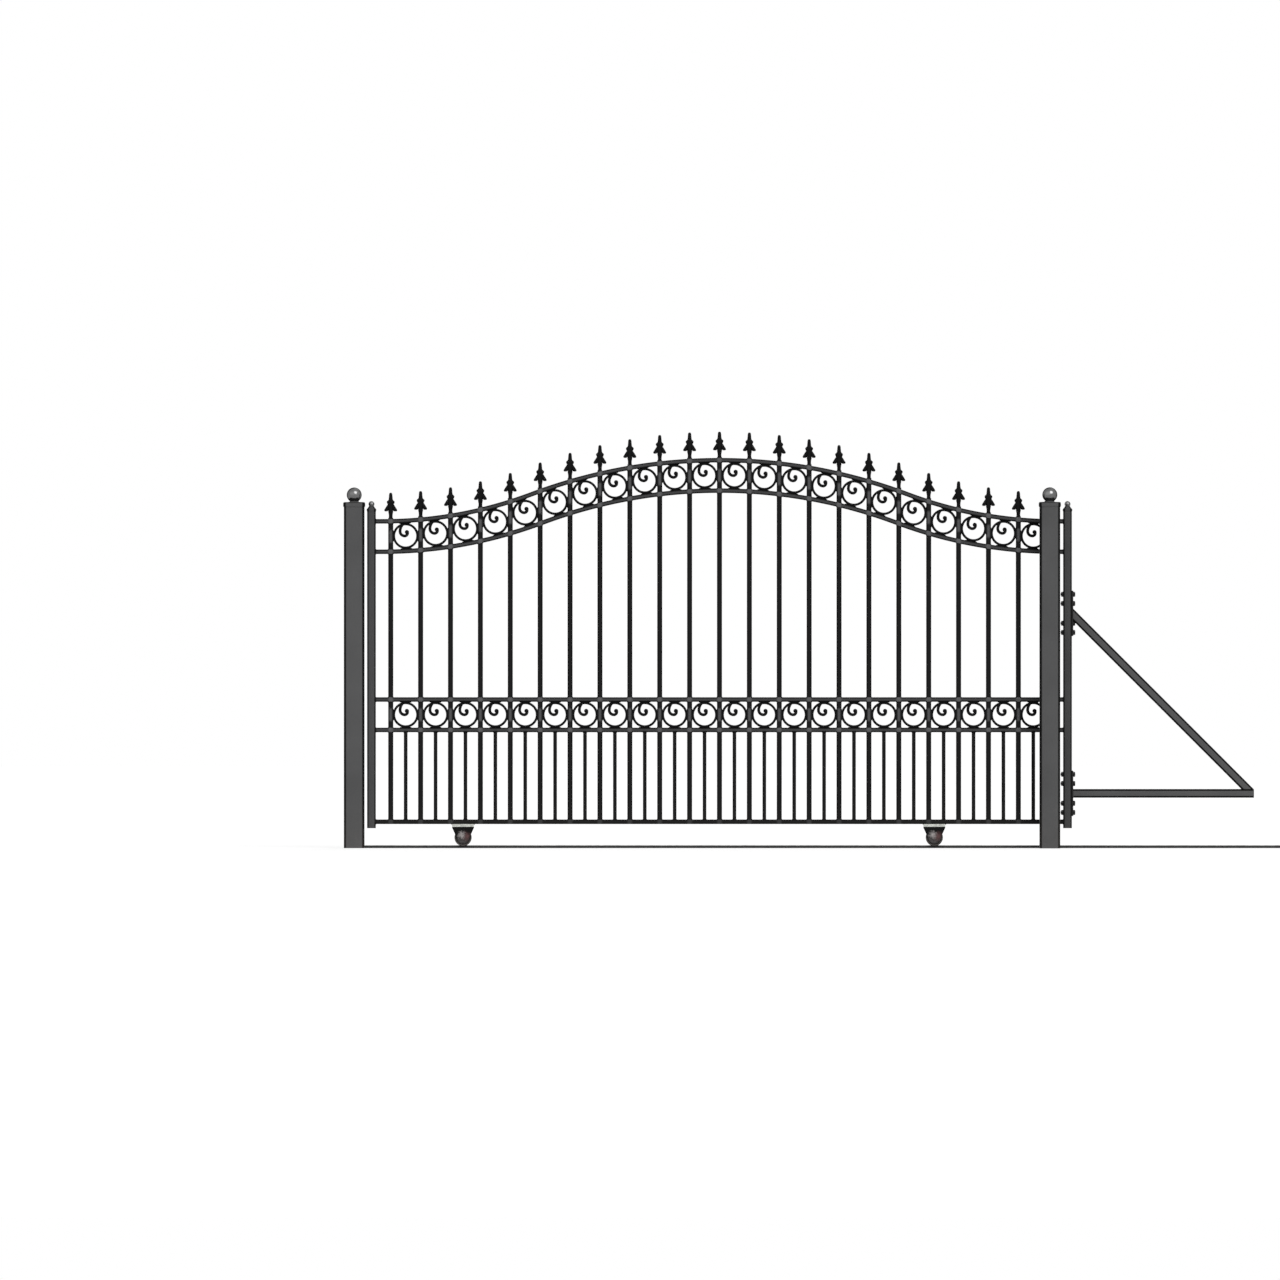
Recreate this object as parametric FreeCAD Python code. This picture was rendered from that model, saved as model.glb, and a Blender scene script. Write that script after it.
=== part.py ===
import FreeCAD, Part
import math
import os

# Sliding driveway gate: a steel leaf with a bell-curved top, on two grooved wheels.
# Millimetres, +Z up, +X the way the leaf opens, seen from -Y.
# The origin is the middle of the left post's foot.

# Posts
POST_WIDTH = 90.0
POST_WALL = 3.0
POST_CORNER = 5.0
POST_OVER_STILE = 24.7
FOOT_PLATE = 6.0
CAP_LIP = 3.0
CAP_SKIRT = 14.0
CAP_TOP = 8.0
CAP_EASE = 3.0
BALL_DIAMETER = 66.0
BALL_NECK_DIAMETER = 38.0
BALL_BASE_DIAMETER = 52.0
BALL_NECK_HEIGHT = 5.0
BALL_SIDES = 16
BALL_BANDS = 6

# Leaf, pickets
CLOSING_GAP = 12.0
PICKET_COUNT = 23
PICKET_PITCH = 131.5
PICKET_WIDTH = 22.0
PICKET_STUB = 4.5
DOG_PICKET_WIDTH = 16.0

# Leaf, stiles
STILE_WIDTH = 38.0
STILE_WALL = 2.0
STILE_CORNER = 3.0
STILE_TAIL = 18.0
STILE_OVER_SHOULDER = 52.0
STILE_CAP_LIP = 2.0
STILE_CAP_SKIRT = 9.0
STILE_CAP_TOP = 4.0
STILE_CAP_TAPER = 12.0
STILE_CAP_WAIST = 20.0
STILE_BALL_DIAMETER = 26.0
STILE_BALL_SIDES = 12
STILE_BALL_BANDS = 4

# Leaf, rails, with their rises measured from the bottom rail's middle line
RAIL_HEIGHT = 20.0
RAIL_DEPTH = 30.0
LOWER_MID_RISE = 404.0
SHOULDER_RISE = 1188.0
BELL_RISE = 269.0
BELL_LEVEL_END = 29.0
CREST_SHARE = 0.558

# Scroll rings
RING_CLEARANCE = 2.2
RING_BAR = 10.0
RING_DEPTH = 14.0
RING_SIDES = 12
SCROLL_STEPS = 3
HOOK_RADIUS = 11.0
HOOK_TURN = 130.0
HOOK_STEPS = 2
KNOB_WIDTH = 15.0
KNOB_SIDES = 6

# Spear points
SPEAR_NECK_HEIGHT = 12.0
SPEAR_NECK_WIDTH = 13.0
SPEAR_SWELL_HEIGHT = 26.0
SPEAR_SWELL_WIDTH = 20.0
SPEAR_WAIST_HEIGHT = 60.0
SPEAR_WAIST_WIDTH = 26.0
SPEAR_SHOULDER_HEIGHT = 69.0
SPEAR_SHOULDER_WIDTH = 34.0
SPEAR_POINT_HEIGHT = 78.0
SPEAR_POINT_WIDTH = 16.0
SPEAR_HEIGHT = 111.0
SPEAR_TIP_WIDTH = 8.0
BARB_SPAN = 57.0
BARB_TIP_HEIGHT = 35.0
BARB_FOOT_SPAN = 48.0
BARB_FOOT_HEIGHT = 29.0
BARB_ROOT_HEIGHT = 33.0
BLADE_DEPTH = 9.0

# Track, and the wheels whose grooves straddle it
TRACK_HEIGHT = 12.0
TRACK_FLANGE_WIDTH = 60.0
TRACK_FLANGE = 3.0
TRACK_CREST_WIDTH = 2.0
TRACK_OVERRUN = 110.0
FLANK_ANGLE = 45.0
RUNNING_GAP = 0.3
WHEEL_ROOT_RADIUS = 33.0
WHEEL_GROOVE_DEPTH = 5.0
WHEEL_WIDTH = 20.0
WHEEL_SIDES = 40

# Roller brackets
AXLE_RADIUS = 6.0
AXLE_SIDES = 12
AXLE_HEAD_WIDTH = 19.0
AXLE_HEAD_HEIGHT = 6.0
AXLE_HEAD_SIDES = 6
WHEEL_ROOM = 5.0
CHEEK_THICKNESS = 4.0
CHEEK_TOP_WIDTH = 96.0
CHEEK_NOSE_RADIUS = 26.0
MOUNT_PLATE = 12.0
FRONT_ROLLER_INSET = 422.0
REAR_ROLLER_INSET = 605.0

# Tail frame behind the trailing stile
TAIL_TUBE = 38.0
TAIL_WALL = 2.0
TAIL_CORNER = 3.0
TAIL_REACH = 801.0
TAIL_DIAGONAL_INSET = 9.0
TAIL_RISE = 125.0
TAIL_SLOPE = 45.0
TAIL_PLATE_HEIGHT = 200.0
TAIL_PLATE = 6.0
TAIL_END_CAP = 3.0

# Right post and the guide that keeps the leaf upright
RIGHT_POST_SETBACK = 99.0
GUIDE_PLAY = 5.0
GUIDE_ROLLER_RADIUS = 20.0
GUIDE_ROLLER_HEIGHT = 44.0
GUIDE_ROLLER_SIDES = 24
GUIDE_PIN_RADIUS = 6.0
GUIDE_PIN_SIDES = 12
GUIDE_PIN_GAP = 0.3
GUIDE_ROOM = 6.0
GUIDE_ARM = 5.0
GUIDE_ARM_WIDTH = 30.0
GUIDE_END_GAP = 0.3
GUIDE_PLATE_WIDTH = 40.0
GUIDE_PLATE_HEIGHT = 90.0
GUIDE_UPRIGHT_WIDTH = 50.0
GUIDE_UPRIGHT_WALL = 2.5
GUIDE_UPRIGHT_CORNER = 3.0
GUIDE_UPRIGHT_OVER = 30.0
GUIDE_UPRIGHT_CAP = 4.0
OPEN_CLEARANCE = 10.0

# Heights that follow from the wheel standing on the track
FLANK_RUN = math.tan(math.radians(FLANK_ANGLE))
TRACK_APEX_Z = TRACK_HEIGHT + TRACK_CREST_WIDTH / 2 / FLANK_RUN
AXLE_Z = TRACK_APEX_Z + RUNNING_GAP / math.sin(math.radians(FLANK_ANGLE)) + WHEEL_ROOT_RADIUS
WHEEL_RADIUS = WHEEL_ROOT_RADIUS + WHEEL_GROOVE_DEPTH
BRACKET_HALF_DEPTH = WHEEL_WIDTH / 2 + WHEEL_ROOM + CHEEK_THICKNESS
CROWN_Z = AXLE_Z + WHEEL_RADIUS + WHEEL_ROOM
BOTTOM_RAIL_Z = CROWN_Z + CHEEK_THICKNESS + MOUNT_PLATE + RAIL_HEIGHT / 2
BOTTOM_RAIL_TOP = BOTTOM_RAIL_Z + RAIL_HEIGHT / 2
STILE_FOOT = BOTTOM_RAIL_Z - RAIL_HEIGHT / 2 - STILE_TAIL

# A ring just fits its bay, so the two rails of a band stand one ring apart
BAY_GAP = PICKET_PITCH - PICKET_WIDTH
BAND_SPACING = BAY_GAP + RAIL_HEIGHT + 2 * RING_CLEARANCE
LOWER_MID_Z = BOTTOM_RAIL_Z + LOWER_MID_RISE
UPPER_MID_Z = LOWER_MID_Z + BAND_SPACING
UPPER_TOP_Z = BOTTOM_RAIL_Z + SHOULDER_RISE + BAND_SPACING
STILE_TOP = UPPER_TOP_Z + STILE_OVER_SHOULDER
POST_HEIGHT = STILE_TOP + POST_OVER_STILE

# Places along the leaf
LEAF_LEFT = POST_WIDTH / 2 + CLOSING_GAP
INNER_LEFT = LEAF_LEFT + STILE_WIDTH
INNER_WIDTH = PICKET_COUNT * PICKET_PITCH
INNER_RIGHT = INNER_LEFT + INNER_WIDTH
LEAF_RIGHT = INNER_RIGHT + STILE_WIDTH
CENTRE_X = (INNER_LEFT + INNER_RIGHT) / 2
FRONT_AXLE_X = LEAF_LEFT + FRONT_ROLLER_INSET
REAR_AXLE_X = LEAF_RIGHT - REAR_ROLLER_INSET
TAIL_START = LEAF_RIGHT + TAIL_PLATE
TAIL_END = LEAF_RIGHT + TAIL_REACH
TAIL_Z = BOTTOM_RAIL_Z + TAIL_RISE
TAIL_CLIMB = (TAIL_REACH - TAIL_DIAGONAL_INSET) * math.tan(math.radians(TAIL_SLOPE))

# Right post in front of the leaf, with the guide rollers between
GUIDE_ROLLER_Y = RAIL_DEPTH / 2 + GUIDE_PLAY + GUIDE_ROLLER_RADIUS
GUIDE_FACE_Y = GUIDE_ROLLER_Y + GUIDE_ROLLER_RADIUS + GUIDE_ROOM + GUIDE_ARM
GUIDE_ARM_RISE = GUIDE_ROLLER_HEIGHT / 2 + GUIDE_END_GAP
GUIDE_UPRIGHT_Y = GUIDE_FACE_Y + GUIDE_UPRIGHT_WIDTH / 2
GUIDE_UPRIGHT_TOP = UPPER_MID_Z + GUIDE_PLATE_HEIGHT / 2 + GUIDE_UPRIGHT_OVER
RIGHT_POST_X = LEAF_RIGHT - RIGHT_POST_SETBACK
RIGHT_POST_Y = -(GUIDE_FACE_Y + POST_WIDTH / 2)
TRAVEL = RIGHT_POST_X - GUIDE_ROLLER_RADIUS - OPEN_CLEARANCE - INNER_LEFT
TRACK_START = POST_WIDTH / 2
TRACK_END = REAR_AXLE_X + TRAVEL + TRACK_OVERRUN

# Bell curve of the upper top rail's middle line: a crest arc between two hollow shoulder arcs
BELL_HALF_SPAN = INNER_WIDTH / 2 - BELL_LEVEL_END
BELL_ANGLE = 2 * math.atan(BELL_RISE / BELL_HALF_SPAN)
BELL_RADII = BELL_HALF_SPAN / math.sin(BELL_ANGLE)
CREST_RADIUS = BELL_RADII * CREST_SHARE
SHOULDER_RADIUS = BELL_RADII - CREST_RADIUS
CREST_CENTRE_Z = UPPER_TOP_Z + BELL_RISE - CREST_RADIUS
SHOULDER_CENTRE_Z = UPPER_TOP_Z + SHOULDER_RADIUS

ORIGIN = FreeCAD.Vector(0, 0, 0)
X_AXIS = FreeCAD.Vector(1, 0, 0)
Y_AXIS = FreeCAD.Vector(0, 1, 0)


def point(x, z, y=0.0):
    """A point of the leaf's elevation, at depth y."""
    return FreeCAD.Vector(x, y, z)


def moved(shape, x=0.0, y=0.0, z=0.0):
    """A copy of a shape, set at a place."""
    copy = shape.copy()
    copy.translate(FreeCAD.Vector(x, y, z))
    return copy


def swung(shape, axis, angle):
    """A copy of a shape, turned about an axis through the origin."""
    copy = shape.copy()
    copy.rotate(ORIGIN, axis, angle)
    return copy


def block(x, y, z, width, depth, height):
    """A box centred on x and y, standing on z."""
    corner = FreeCAD.Vector(x - width / 2, y - depth / 2, z)
    return Part.makeBox(width, depth, height, corner)


def eased_bar(width, corner, length):
    """An upright square bar with eased corners, standing on the origin."""
    bar = block(0, 0, 0, width, width, length)
    upright = [edge for edge in bar.Edges if edge.Vertexes[0].Z != edge.Vertexes[1].Z]
    return bar.makeChamfer(corner, upright)


def square_tube(width, wall, corner, length, foot=0.0):
    """An upright square tube of even wall, standing on the origin, closed below by a foot plate."""
    bore_corner = corner - wall * (2 - math.sqrt(2))
    bore = eased_bar(width - 2 * wall, bore_corner, length - foot)
    return eased_bar(width, corner, length).cut(moved(bore, z=foot))


def flat_face(corners):
    """A flat face through its corners."""
    return Part.Face(Part.makePolygon(corners + corners[:1]))


def flat_shape(points, depth):
    """A closed outline of the elevation, as a plate centred on the leaf's plane."""
    face = flat_face([point(x, z, -depth / 2) for x, z in points])
    return face.extrude(FreeCAD.Vector(0, depth, 0))


def round_outline(flat_radius, sides):
    """A regular outline with a flat side towards +X."""
    radius = flat_radius / math.cos(math.pi / sides)
    turns = [(index + 0.5) * 2 * math.pi / sides for index in range(sides)]
    return [(radius * math.cos(turn), radius * math.sin(turn)) for turn in turns]


def skinned(rings):
    """A solid through level rings of corners, with flat sides between them."""
    faces = [flat_face(rings[0]), flat_face(rings[-1])]
    for lower, upper in zip(rings, rings[1:]):
        for index in range(len(lower)):
            before = index - 1
            faces.append(flat_face([lower[before], lower[index], upper[index], upper[before]]))
    return Part.Solid(Part.Shell(faces))


def turned(rings, sides):
    """An upright turned form of few sides, through rings given as a height and a radius."""
    corners = []
    for height, radius in rings:
        corners.append([FreeCAD.Vector(x, y, height) for x, y in round_outline(radius, sides)])
    return skinned(corners)


def rod(radius, sides, length):
    """An upright round rod of few sides, with the origin at its middle."""
    return turned(((-length / 2, radius), (length / 2, radius)), sides)


def write(name, *shapes):
    """One file for a node, with one or several separate solids."""
    node = shapes[0] if len(shapes) == 1 else Part.makeCompound(list(shapes))
    node.exportStep(f"parts/{name}.step")


def picket_x(index):
    """Middle of a picket, counted from the leading stile."""
    return INNER_LEFT + (index + 0.5) * PICKET_PITCH


def bay_x(index):
    """Middle of the bay that follows a picket."""
    return picket_x(index) + PICKET_PITCH / 2


def bell_height(x, offset):
    """Height of the bell curve at x, for a line that runs parallel to it."""
    run = abs(x - CENTRE_X)
    crest = CREST_RADIUS + offset
    shoulder = SHOULDER_RADIUS - offset
    if run <= crest * math.sin(BELL_ANGLE):
        return CREST_CENTRE_Z + math.sqrt(crest**2 - run**2)
    if run < BELL_HALF_SPAN:
        return SHOULDER_CENTRE_Z - math.sqrt(shoulder**2 - (BELL_HALF_SPAN - run) ** 2)
    return UPPER_TOP_Z + offset


def bell_edges(offset):
    """Edges of a line parallel to the bell curve, from stile to stile."""
    turn = (CREST_RADIUS + offset) * math.sin(BELL_ANGLE)
    runs = (-INNER_WIDTH / 2, -BELL_HALF_SPAN, -turn, turn, BELL_HALF_SPAN, INNER_WIDTH / 2)
    stops = [CENTRE_X + run for run in runs]
    edges = []
    for start, stop in zip(stops, stops[1:]):
        places = (start, (start + stop) / 2, stop)
        first, middle, last = [point(x, bell_height(x, offset), -RAIL_DEPTH / 2) for x in places]
        level = start in (stops[0], stops[-2])
        curve = Part.LineSegment(first, last) if level else Part.Arc(first, middle, last)
        edges.append(curve.toShape())
    return edges


def bell_rail(offset):
    """A rail bent along the bell curve."""
    upper = bell_edges(offset + RAIL_HEIGHT / 2)
    lower = bell_edges(offset - RAIL_HEIGHT / 2)
    ends = []
    for index in (0, -1):
        top = upper[index].Vertexes[index].Point
        foot = lower[index].Vertexes[index].Point
        ends.append(Part.LineSegment(foot, top).toShape())
    outline = Part.Wire(Part.__sortEdges__(upper + lower + ends))
    return Part.Face(outline).extrude(FreeCAD.Vector(0, RAIL_DEPTH, 0))


def level_rail(z):
    """A straight rail between the stiles."""
    return block(CENTRE_X, 0, z - RAIL_HEIGHT / 2, INNER_WIDTH, RAIL_DEPTH, RAIL_HEIGHT)


def picket_top(x):
    """Where a picket ends, a stub above the middle of the upper rail's sloping top."""
    return bell_height(x, RAIL_HEIGHT / 2) + PICKET_STUB


def picket(index):
    """A picket, from the bottom rail to its stub."""
    x = picket_x(index)
    height = picket_top(x) - BOTTOM_RAIL_TOP
    return block(x, 0, BOTTOM_RAIL_TOP, PICKET_WIDTH, PICKET_WIDTH, height)


def dog_picket(index):
    """A short thin picket, from the bottom rail to the lower mid rail."""
    height = LOWER_MID_Z - RAIL_HEIGHT / 2 - BOTTOM_RAIL_TOP
    return block(bay_x(index), 0, BOTTOM_RAIL_TOP, DOG_PICKET_WIDTH, DOG_PICKET_WIDTH, height)


def scroll_line(radius):
    """Middle line of a scroll: from the ring's top half a turn to its middle, then a tighter hook."""
    line = [(0, radius)]
    half_turn = (radius / 2, 90, 180, SCROLL_STEPS)
    hook = (HOOK_RADIUS, 270, HOOK_TURN, HOOK_STEPS)
    for size, start, sweep, steps in (half_turn, hook):
        for step in range(1, steps + 1):
            turn = math.radians(start + sweep * step / steps)
            line.append((size * math.cos(turn), size + size * math.sin(turn)))
    return line


def bent_bar(line, width):
    """Outline of a bar of one width that follows a line."""
    left = []
    right = []
    for index, (x, z) in enumerate(line):
        before = line[max(index - 1, 0)]
        after = line[min(index + 1, len(line) - 1)]
        run = math.hypot(after[0] - before[0], after[1] - before[1])
        across = ((before[1] - after[1]) / run, (after[0] - before[0]) / run)
        left.append((x + across[0] * width / 2, z + across[1] * width / 2))
        right.append((x - across[0] * width / 2, z - across[1] * width / 2))
    return left + right[::-1]


def scroll_ring():
    """A ring with a scroll that curls in from its top to a knob."""
    outside = flat_shape(round_outline(BAY_GAP / 2, RING_SIDES), RING_DEPTH)
    inside = flat_shape(round_outline(BAY_GAP / 2 - RING_BAR, RING_SIDES), RING_DEPTH)
    line = scroll_line(BAY_GAP / 2 - RING_BAR / 2)
    scroll = flat_shape(bent_bar(line, RING_BAR), RING_DEPTH)
    knob = flat_shape(round_outline(KNOB_WIDTH / 2, KNOB_SIDES), RING_DEPTH)
    knob_x, knob_z = line[-1]
    return outside.cut(inside).fuse([scroll, moved(knob, knob_x, 0, knob_z)]).removeSplitter()


def square_ring(z, width):
    """Corners of a level square."""
    half = width / 2
    corners = ((-half, -half), (half, -half), (half, half), (-half, half))
    return [FreeCAD.Vector(x, y, z) for x, y in corners]


def diamond_ring(z, width):
    """Corners of a level square that stands cornerwise, with ridges front and back."""
    half = width / 2
    corners = ((0, -half), (half, 0), (0, half), (-half, 0))
    return [FreeCAD.Vector(x, y, z) for x, y in corners]


def spear():
    """A cast spear point on the end of a picket: a ridged spindle in a flat barbed blade."""
    spindle = (
        (0, SPEAR_NECK_WIDTH),
        (SPEAR_NECK_HEIGHT, SPEAR_NECK_WIDTH),
        (SPEAR_SWELL_HEIGHT, SPEAR_SWELL_WIDTH),
        (SPEAR_POINT_HEIGHT, SPEAR_POINT_WIDTH),
        (SPEAR_HEIGHT, SPEAR_TIP_WIDTH),
    )
    right = [
        (SPEAR_POINT_WIDTH / 2, SPEAR_POINT_HEIGHT),
        (SPEAR_SHOULDER_WIDTH / 2, SPEAR_SHOULDER_HEIGHT),
        (SPEAR_WAIST_WIDTH / 2, SPEAR_WAIST_HEIGHT),
        (BARB_SPAN / 2, BARB_TIP_HEIGHT),
        (BARB_FOOT_SPAN / 2, BARB_FOOT_HEIGHT),
    ]
    left = [(-x, z) for x, z in right[::-1]]
    blade = flat_shape(right + [(0, BARB_ROOT_HEIGHT)] + left, BLADE_DEPTH)
    return skinned([diamond_ring(*ring) for ring in spindle]).fuse(blade).removeSplitter()


def ball_rings(base, radius, waist, bands):
    """Rings of a ball that is cut off level at its waist, from a height upwards."""
    start = math.asin(waist / radius)
    centre = base + radius * math.cos(start)
    turns = [start + (math.pi - start) * step / (bands + 0.5) for step in range(bands + 1)]
    return [(centre - radius * math.cos(turn), radius * math.sin(turn)) for turn in turns]


def sleeved_cap(inside, lip, skirt, top):
    """A square cap with eased rims, whose skirt sleeves a tube's end at the origin."""
    width = inside + 2 * lip
    rims = (
        (-skirt, width - CAP_EASE),
        (CAP_EASE - skirt, width),
        (top - CAP_EASE, width),
        (top, width - 2 * CAP_EASE),
    )
    sleeve = block(0, 0, -skirt, inside, inside, skirt)
    return skinned([square_ring(*rim) for rim in rims]).cut(sleeve)


def post_cap():
    """A post's cap with its ball."""
    cap = sleeved_cap(POST_WIDTH, CAP_LIP, CAP_SKIRT, CAP_TOP)
    base = [(0, BALL_BASE_DIAMETER / 2)]
    ball = ball_rings(BALL_NECK_HEIGHT, BALL_DIAMETER / 2, BALL_NECK_DIAMETER / 2, BALL_BANDS)
    return cap.fuse(moved(turned(base + ball, BALL_SIDES), z=CAP_TOP)).removeSplitter()


def stile_cap():
    """A stile's small tapered cap with its ball."""
    cap = sleeved_cap(STILE_WIDTH, STILE_CAP_LIP, STILE_CAP_SKIRT, STILE_CAP_TOP)
    taper_top = STILE_CAP_TOP + STILE_CAP_TAPER
    foot = square_ring(STILE_CAP_TOP, STILE_WIDTH + 2 * STILE_CAP_LIP - 2 * CAP_EASE)
    taper = skinned([foot, square_ring(taper_top, STILE_CAP_WAIST)])
    rings = ball_rings(taper_top, STILE_BALL_DIAMETER / 2, STILE_CAP_WAIST / 2, STILE_BALL_BANDS)
    return cap.fuse([taper, turned(rings, STILE_BALL_SIDES)]).removeSplitter()


def track():
    """Ground track: a flange with an inverted V along its middle."""
    crest = TRACK_CREST_WIDTH / 2
    flank = crest + (TRACK_HEIGHT - TRACK_FLANGE) * FLANK_RUN
    half = TRACK_FLANGE_WIDTH / 2
    right = [(half, 0), (half, TRACK_FLANGE), (flank, TRACK_FLANGE), (crest, TRACK_HEIGHT)]
    left = [(-y, z) for y, z in right[::-1]]
    face = flat_face([FreeCAD.Vector(TRACK_START, y, z) for y, z in right + left])
    return face.extrude(FreeCAD.Vector(TRACK_END - TRACK_START, 0, 0))


def on_axle(shape, x):
    """An upright turned shape, laid level across the leaf at a wheel's axle."""
    return moved(swung(shape, X_AXIS, 90), x, 0, AXLE_Z)


def wheel(x):
    """A wheel with a V groove that straddles the track."""
    half = WHEEL_WIDTH / 2
    groove = WHEEL_GROOVE_DEPTH * FLANK_RUN
    near = [(-half, WHEEL_RADIUS), (-groove, WHEEL_RADIUS)]
    far = [(-height, radius) for height, radius in near[::-1]]
    body = turned(near + [(0, WHEEL_ROOT_RADIUS)] + far, WHEEL_SIDES)
    return on_axle(body.cut(rod(AXLE_RADIUS + RUNNING_GAP, AXLE_SIDES, WHEEL_WIDTH)), x)


def roller_axle(x):
    """An axle through both cheeks, with a hexagon at each end."""
    pin = on_axle(rod(AXLE_RADIUS, AXLE_SIDES, 2 * BRACKET_HALF_DEPTH), x)
    head = flat_shape(round_outline(AXLE_HEAD_WIDTH / 2, AXLE_HEAD_SIDES), AXLE_HEAD_HEIGHT)
    reach = BRACKET_HALF_DEPTH + AXLE_HEAD_HEIGHT / 2
    return pin.fuse([moved(head, x, side * reach, AXLE_Z) for side in (-1, 1)])


def cheek_outline(x):
    """Outline of a bracket cheek: from a wide top it tapers to a round nose about the axle."""
    half = CHEEK_TOP_WIDTH / 2
    rise = CROWN_Z - AXLE_Z
    reach = math.hypot(half, rise)
    tangent = math.atan2(rise, half) - math.acos(CHEEK_NOSE_RADIUS / reach)
    run = CHEEK_NOSE_RADIUS * math.cos(tangent)
    z = AXLE_Z + CHEEK_NOSE_RADIUS * math.sin(tangent)
    stops = [point(x + run, z), point(x + half, CROWN_Z), point(x - half, CROWN_Z), point(x - run, z)]
    sides = [Part.LineSegment(start, stop) for start, stop in zip(stops, stops[1:])]
    nose = Part.Arc(stops[-1], point(x, AXLE_Z - CHEEK_NOSE_RADIUS), stops[0])
    return Part.Wire([curve.toShape() for curve in sides + [nose]])


def roller_bracket(x):
    """A crown plate and two cheeks, bored for the axle."""
    depth = BRACKET_HALF_DEPTH
    crown = block(x, 0, CROWN_Z, CHEEK_TOP_WIDTH, 2 * depth, CHEEK_THICKNESS)
    cheek = Part.Face(cheek_outline(x)).extrude(FreeCAD.Vector(0, CHEEK_THICKNESS, 0))
    cheeks = [moved(cheek, y=-depth), moved(cheek, y=depth - CHEEK_THICKNESS)]
    bore = on_axle(rod(AXLE_RADIUS, AXLE_SIDES, 2 * depth), x)
    return crown.fuse(cheeks).removeSplitter().cut(bore)


def mount_plate(x):
    """The plate between the bottom rail and a roller bracket."""
    z = CROWN_Z + CHEEK_THICKNESS
    return block(x, 0, z, CHEEK_TOP_WIDTH, 2 * BRACKET_HALF_DEPTH, MOUNT_PLATE)


def tail_plate(z):
    """A plate bolted to the trailing stile."""
    x = LEAF_RIGHT + TAIL_PLATE / 2
    return block(x, 0, z - TAIL_PLATE_HEIGHT / 2, TAIL_PLATE, STILE_WIDTH, TAIL_PLATE_HEIGHT)


def tail_bottom_tube():
    """The level tube of the tail frame."""
    tube = square_tube(TAIL_TUBE, TAIL_WALL, TAIL_CORNER, TAIL_END - TAIL_END_CAP - TAIL_START)
    return moved(swung(tube, Y_AXIS, 90), TAIL_START, 0, TAIL_Z)


def tail_end_cap():
    """The plug that closes the level tube."""
    cap = eased_bar(TAIL_TUBE, TAIL_CORNER, TAIL_END_CAP)
    return moved(swung(cap, Y_AXIS, 90), TAIL_END - TAIL_END_CAP, 0, TAIL_Z)


def tail_diagonal():
    """The slanted tube, cut flush with the upper plate, the level tube and the tail's end."""
    spare = 2 * TAIL_TUBE
    length = math.hypot(TAIL_REACH, TAIL_CLIMB) + 2 * spare
    upright = moved(square_tube(TAIL_TUBE, TAIL_WALL, TAIL_CORNER, length), z=-spare)
    slanted = moved(swung(upright, Y_AXIS, 90 + TAIL_SLOPE), LEAF_RIGHT, 0, TAIL_Z + TAIL_CLIMB)
    middle = (TAIL_START + TAIL_END) / 2
    foot = TAIL_Z + TAIL_TUBE / 2
    room = block(middle, 0, foot, TAIL_END - TAIL_START, TAIL_TUBE, TAIL_CLIMB + spare)
    return slanted.common(room)


def guide_bracket(side):
    """A plate with two arms that hold a guide roller between them."""
    plate_y = side * (GUIDE_FACE_Y - GUIDE_ARM / 2)
    bottom = UPPER_MID_Z - GUIDE_PLATE_HEIGHT / 2
    plate = block(RIGHT_POST_X, plate_y, bottom, GUIDE_PLATE_WIDTH, GUIDE_ARM, GUIDE_PLATE_HEIGHT)
    reach = GUIDE_FACE_Y - GUIDE_ROLLER_Y + GUIDE_ARM_WIDTH / 2
    arm_y = side * (GUIDE_FACE_Y - reach / 2)
    arms = []
    for z in (UPPER_MID_Z + GUIDE_ARM_RISE, UPPER_MID_Z - GUIDE_ARM_RISE - GUIDE_ARM):
        arms.append(block(RIGHT_POST_X, arm_y, z, GUIDE_ARM_WIDTH, reach, GUIDE_ARM))
    return plate.fuse(arms).removeSplitter()


def guide_pin(side):
    """The upright pin of a guide roller, between the two arms of its bracket."""
    pin = rod(GUIDE_PIN_RADIUS, GUIDE_PIN_SIDES, 2 * GUIDE_ARM_RISE)
    return moved(pin, RIGHT_POST_X, side * GUIDE_ROLLER_Y, UPPER_MID_Z)


def guide_roller(side):
    """A roller that runs beside the upper mid rail."""
    body = rod(GUIDE_ROLLER_RADIUS, GUIDE_ROLLER_SIDES, GUIDE_ROLLER_HEIGHT)
    bore = rod(GUIDE_PIN_RADIUS + GUIDE_PIN_GAP, GUIDE_PIN_SIDES, GUIDE_ROLLER_HEIGHT)
    return moved(body.cut(bore), RIGHT_POST_X, side * GUIDE_ROLLER_Y, UPPER_MID_Z)


def make_posts():
    """The two posts with their caps."""
    places = {"left_post": (0.0, 0.0), "right_post": (RIGHT_POST_X, RIGHT_POST_Y)}
    post = square_tube(POST_WIDTH, POST_WALL, POST_CORNER, POST_HEIGHT, FOOT_PLATE)
    for name, (x, y) in places.items():
        write(name, moved(post, x, y))
    cap = post_cap()
    write("post_caps", *[moved(cap, x, y, POST_HEIGHT) for x, y in places.values()])


def make_guide():
    """Guide rollers on both sides of the leaf, on the right post and on an upright behind it."""
    width = GUIDE_UPRIGHT_WIDTH
    corner = GUIDE_UPRIGHT_CORNER
    tube = square_tube(width, GUIDE_UPRIGHT_WALL, corner, GUIDE_UPRIGHT_TOP, FOOT_PLATE)
    cap = eased_bar(width, corner, GUIDE_UPRIGHT_CAP)
    write("guide_upright", moved(tube, RIGHT_POST_X, GUIDE_UPRIGHT_Y))
    write("guide_upright_cap", moved(cap, RIGHT_POST_X, GUIDE_UPRIGHT_Y, GUIDE_UPRIGHT_TOP))
    pieces = {"guide_brackets": guide_bracket, "guide_pins": guide_pin, "guide_rollers": guide_roller}
    for name, make in pieces.items():
        write(name, make(-1), make(1))


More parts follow.
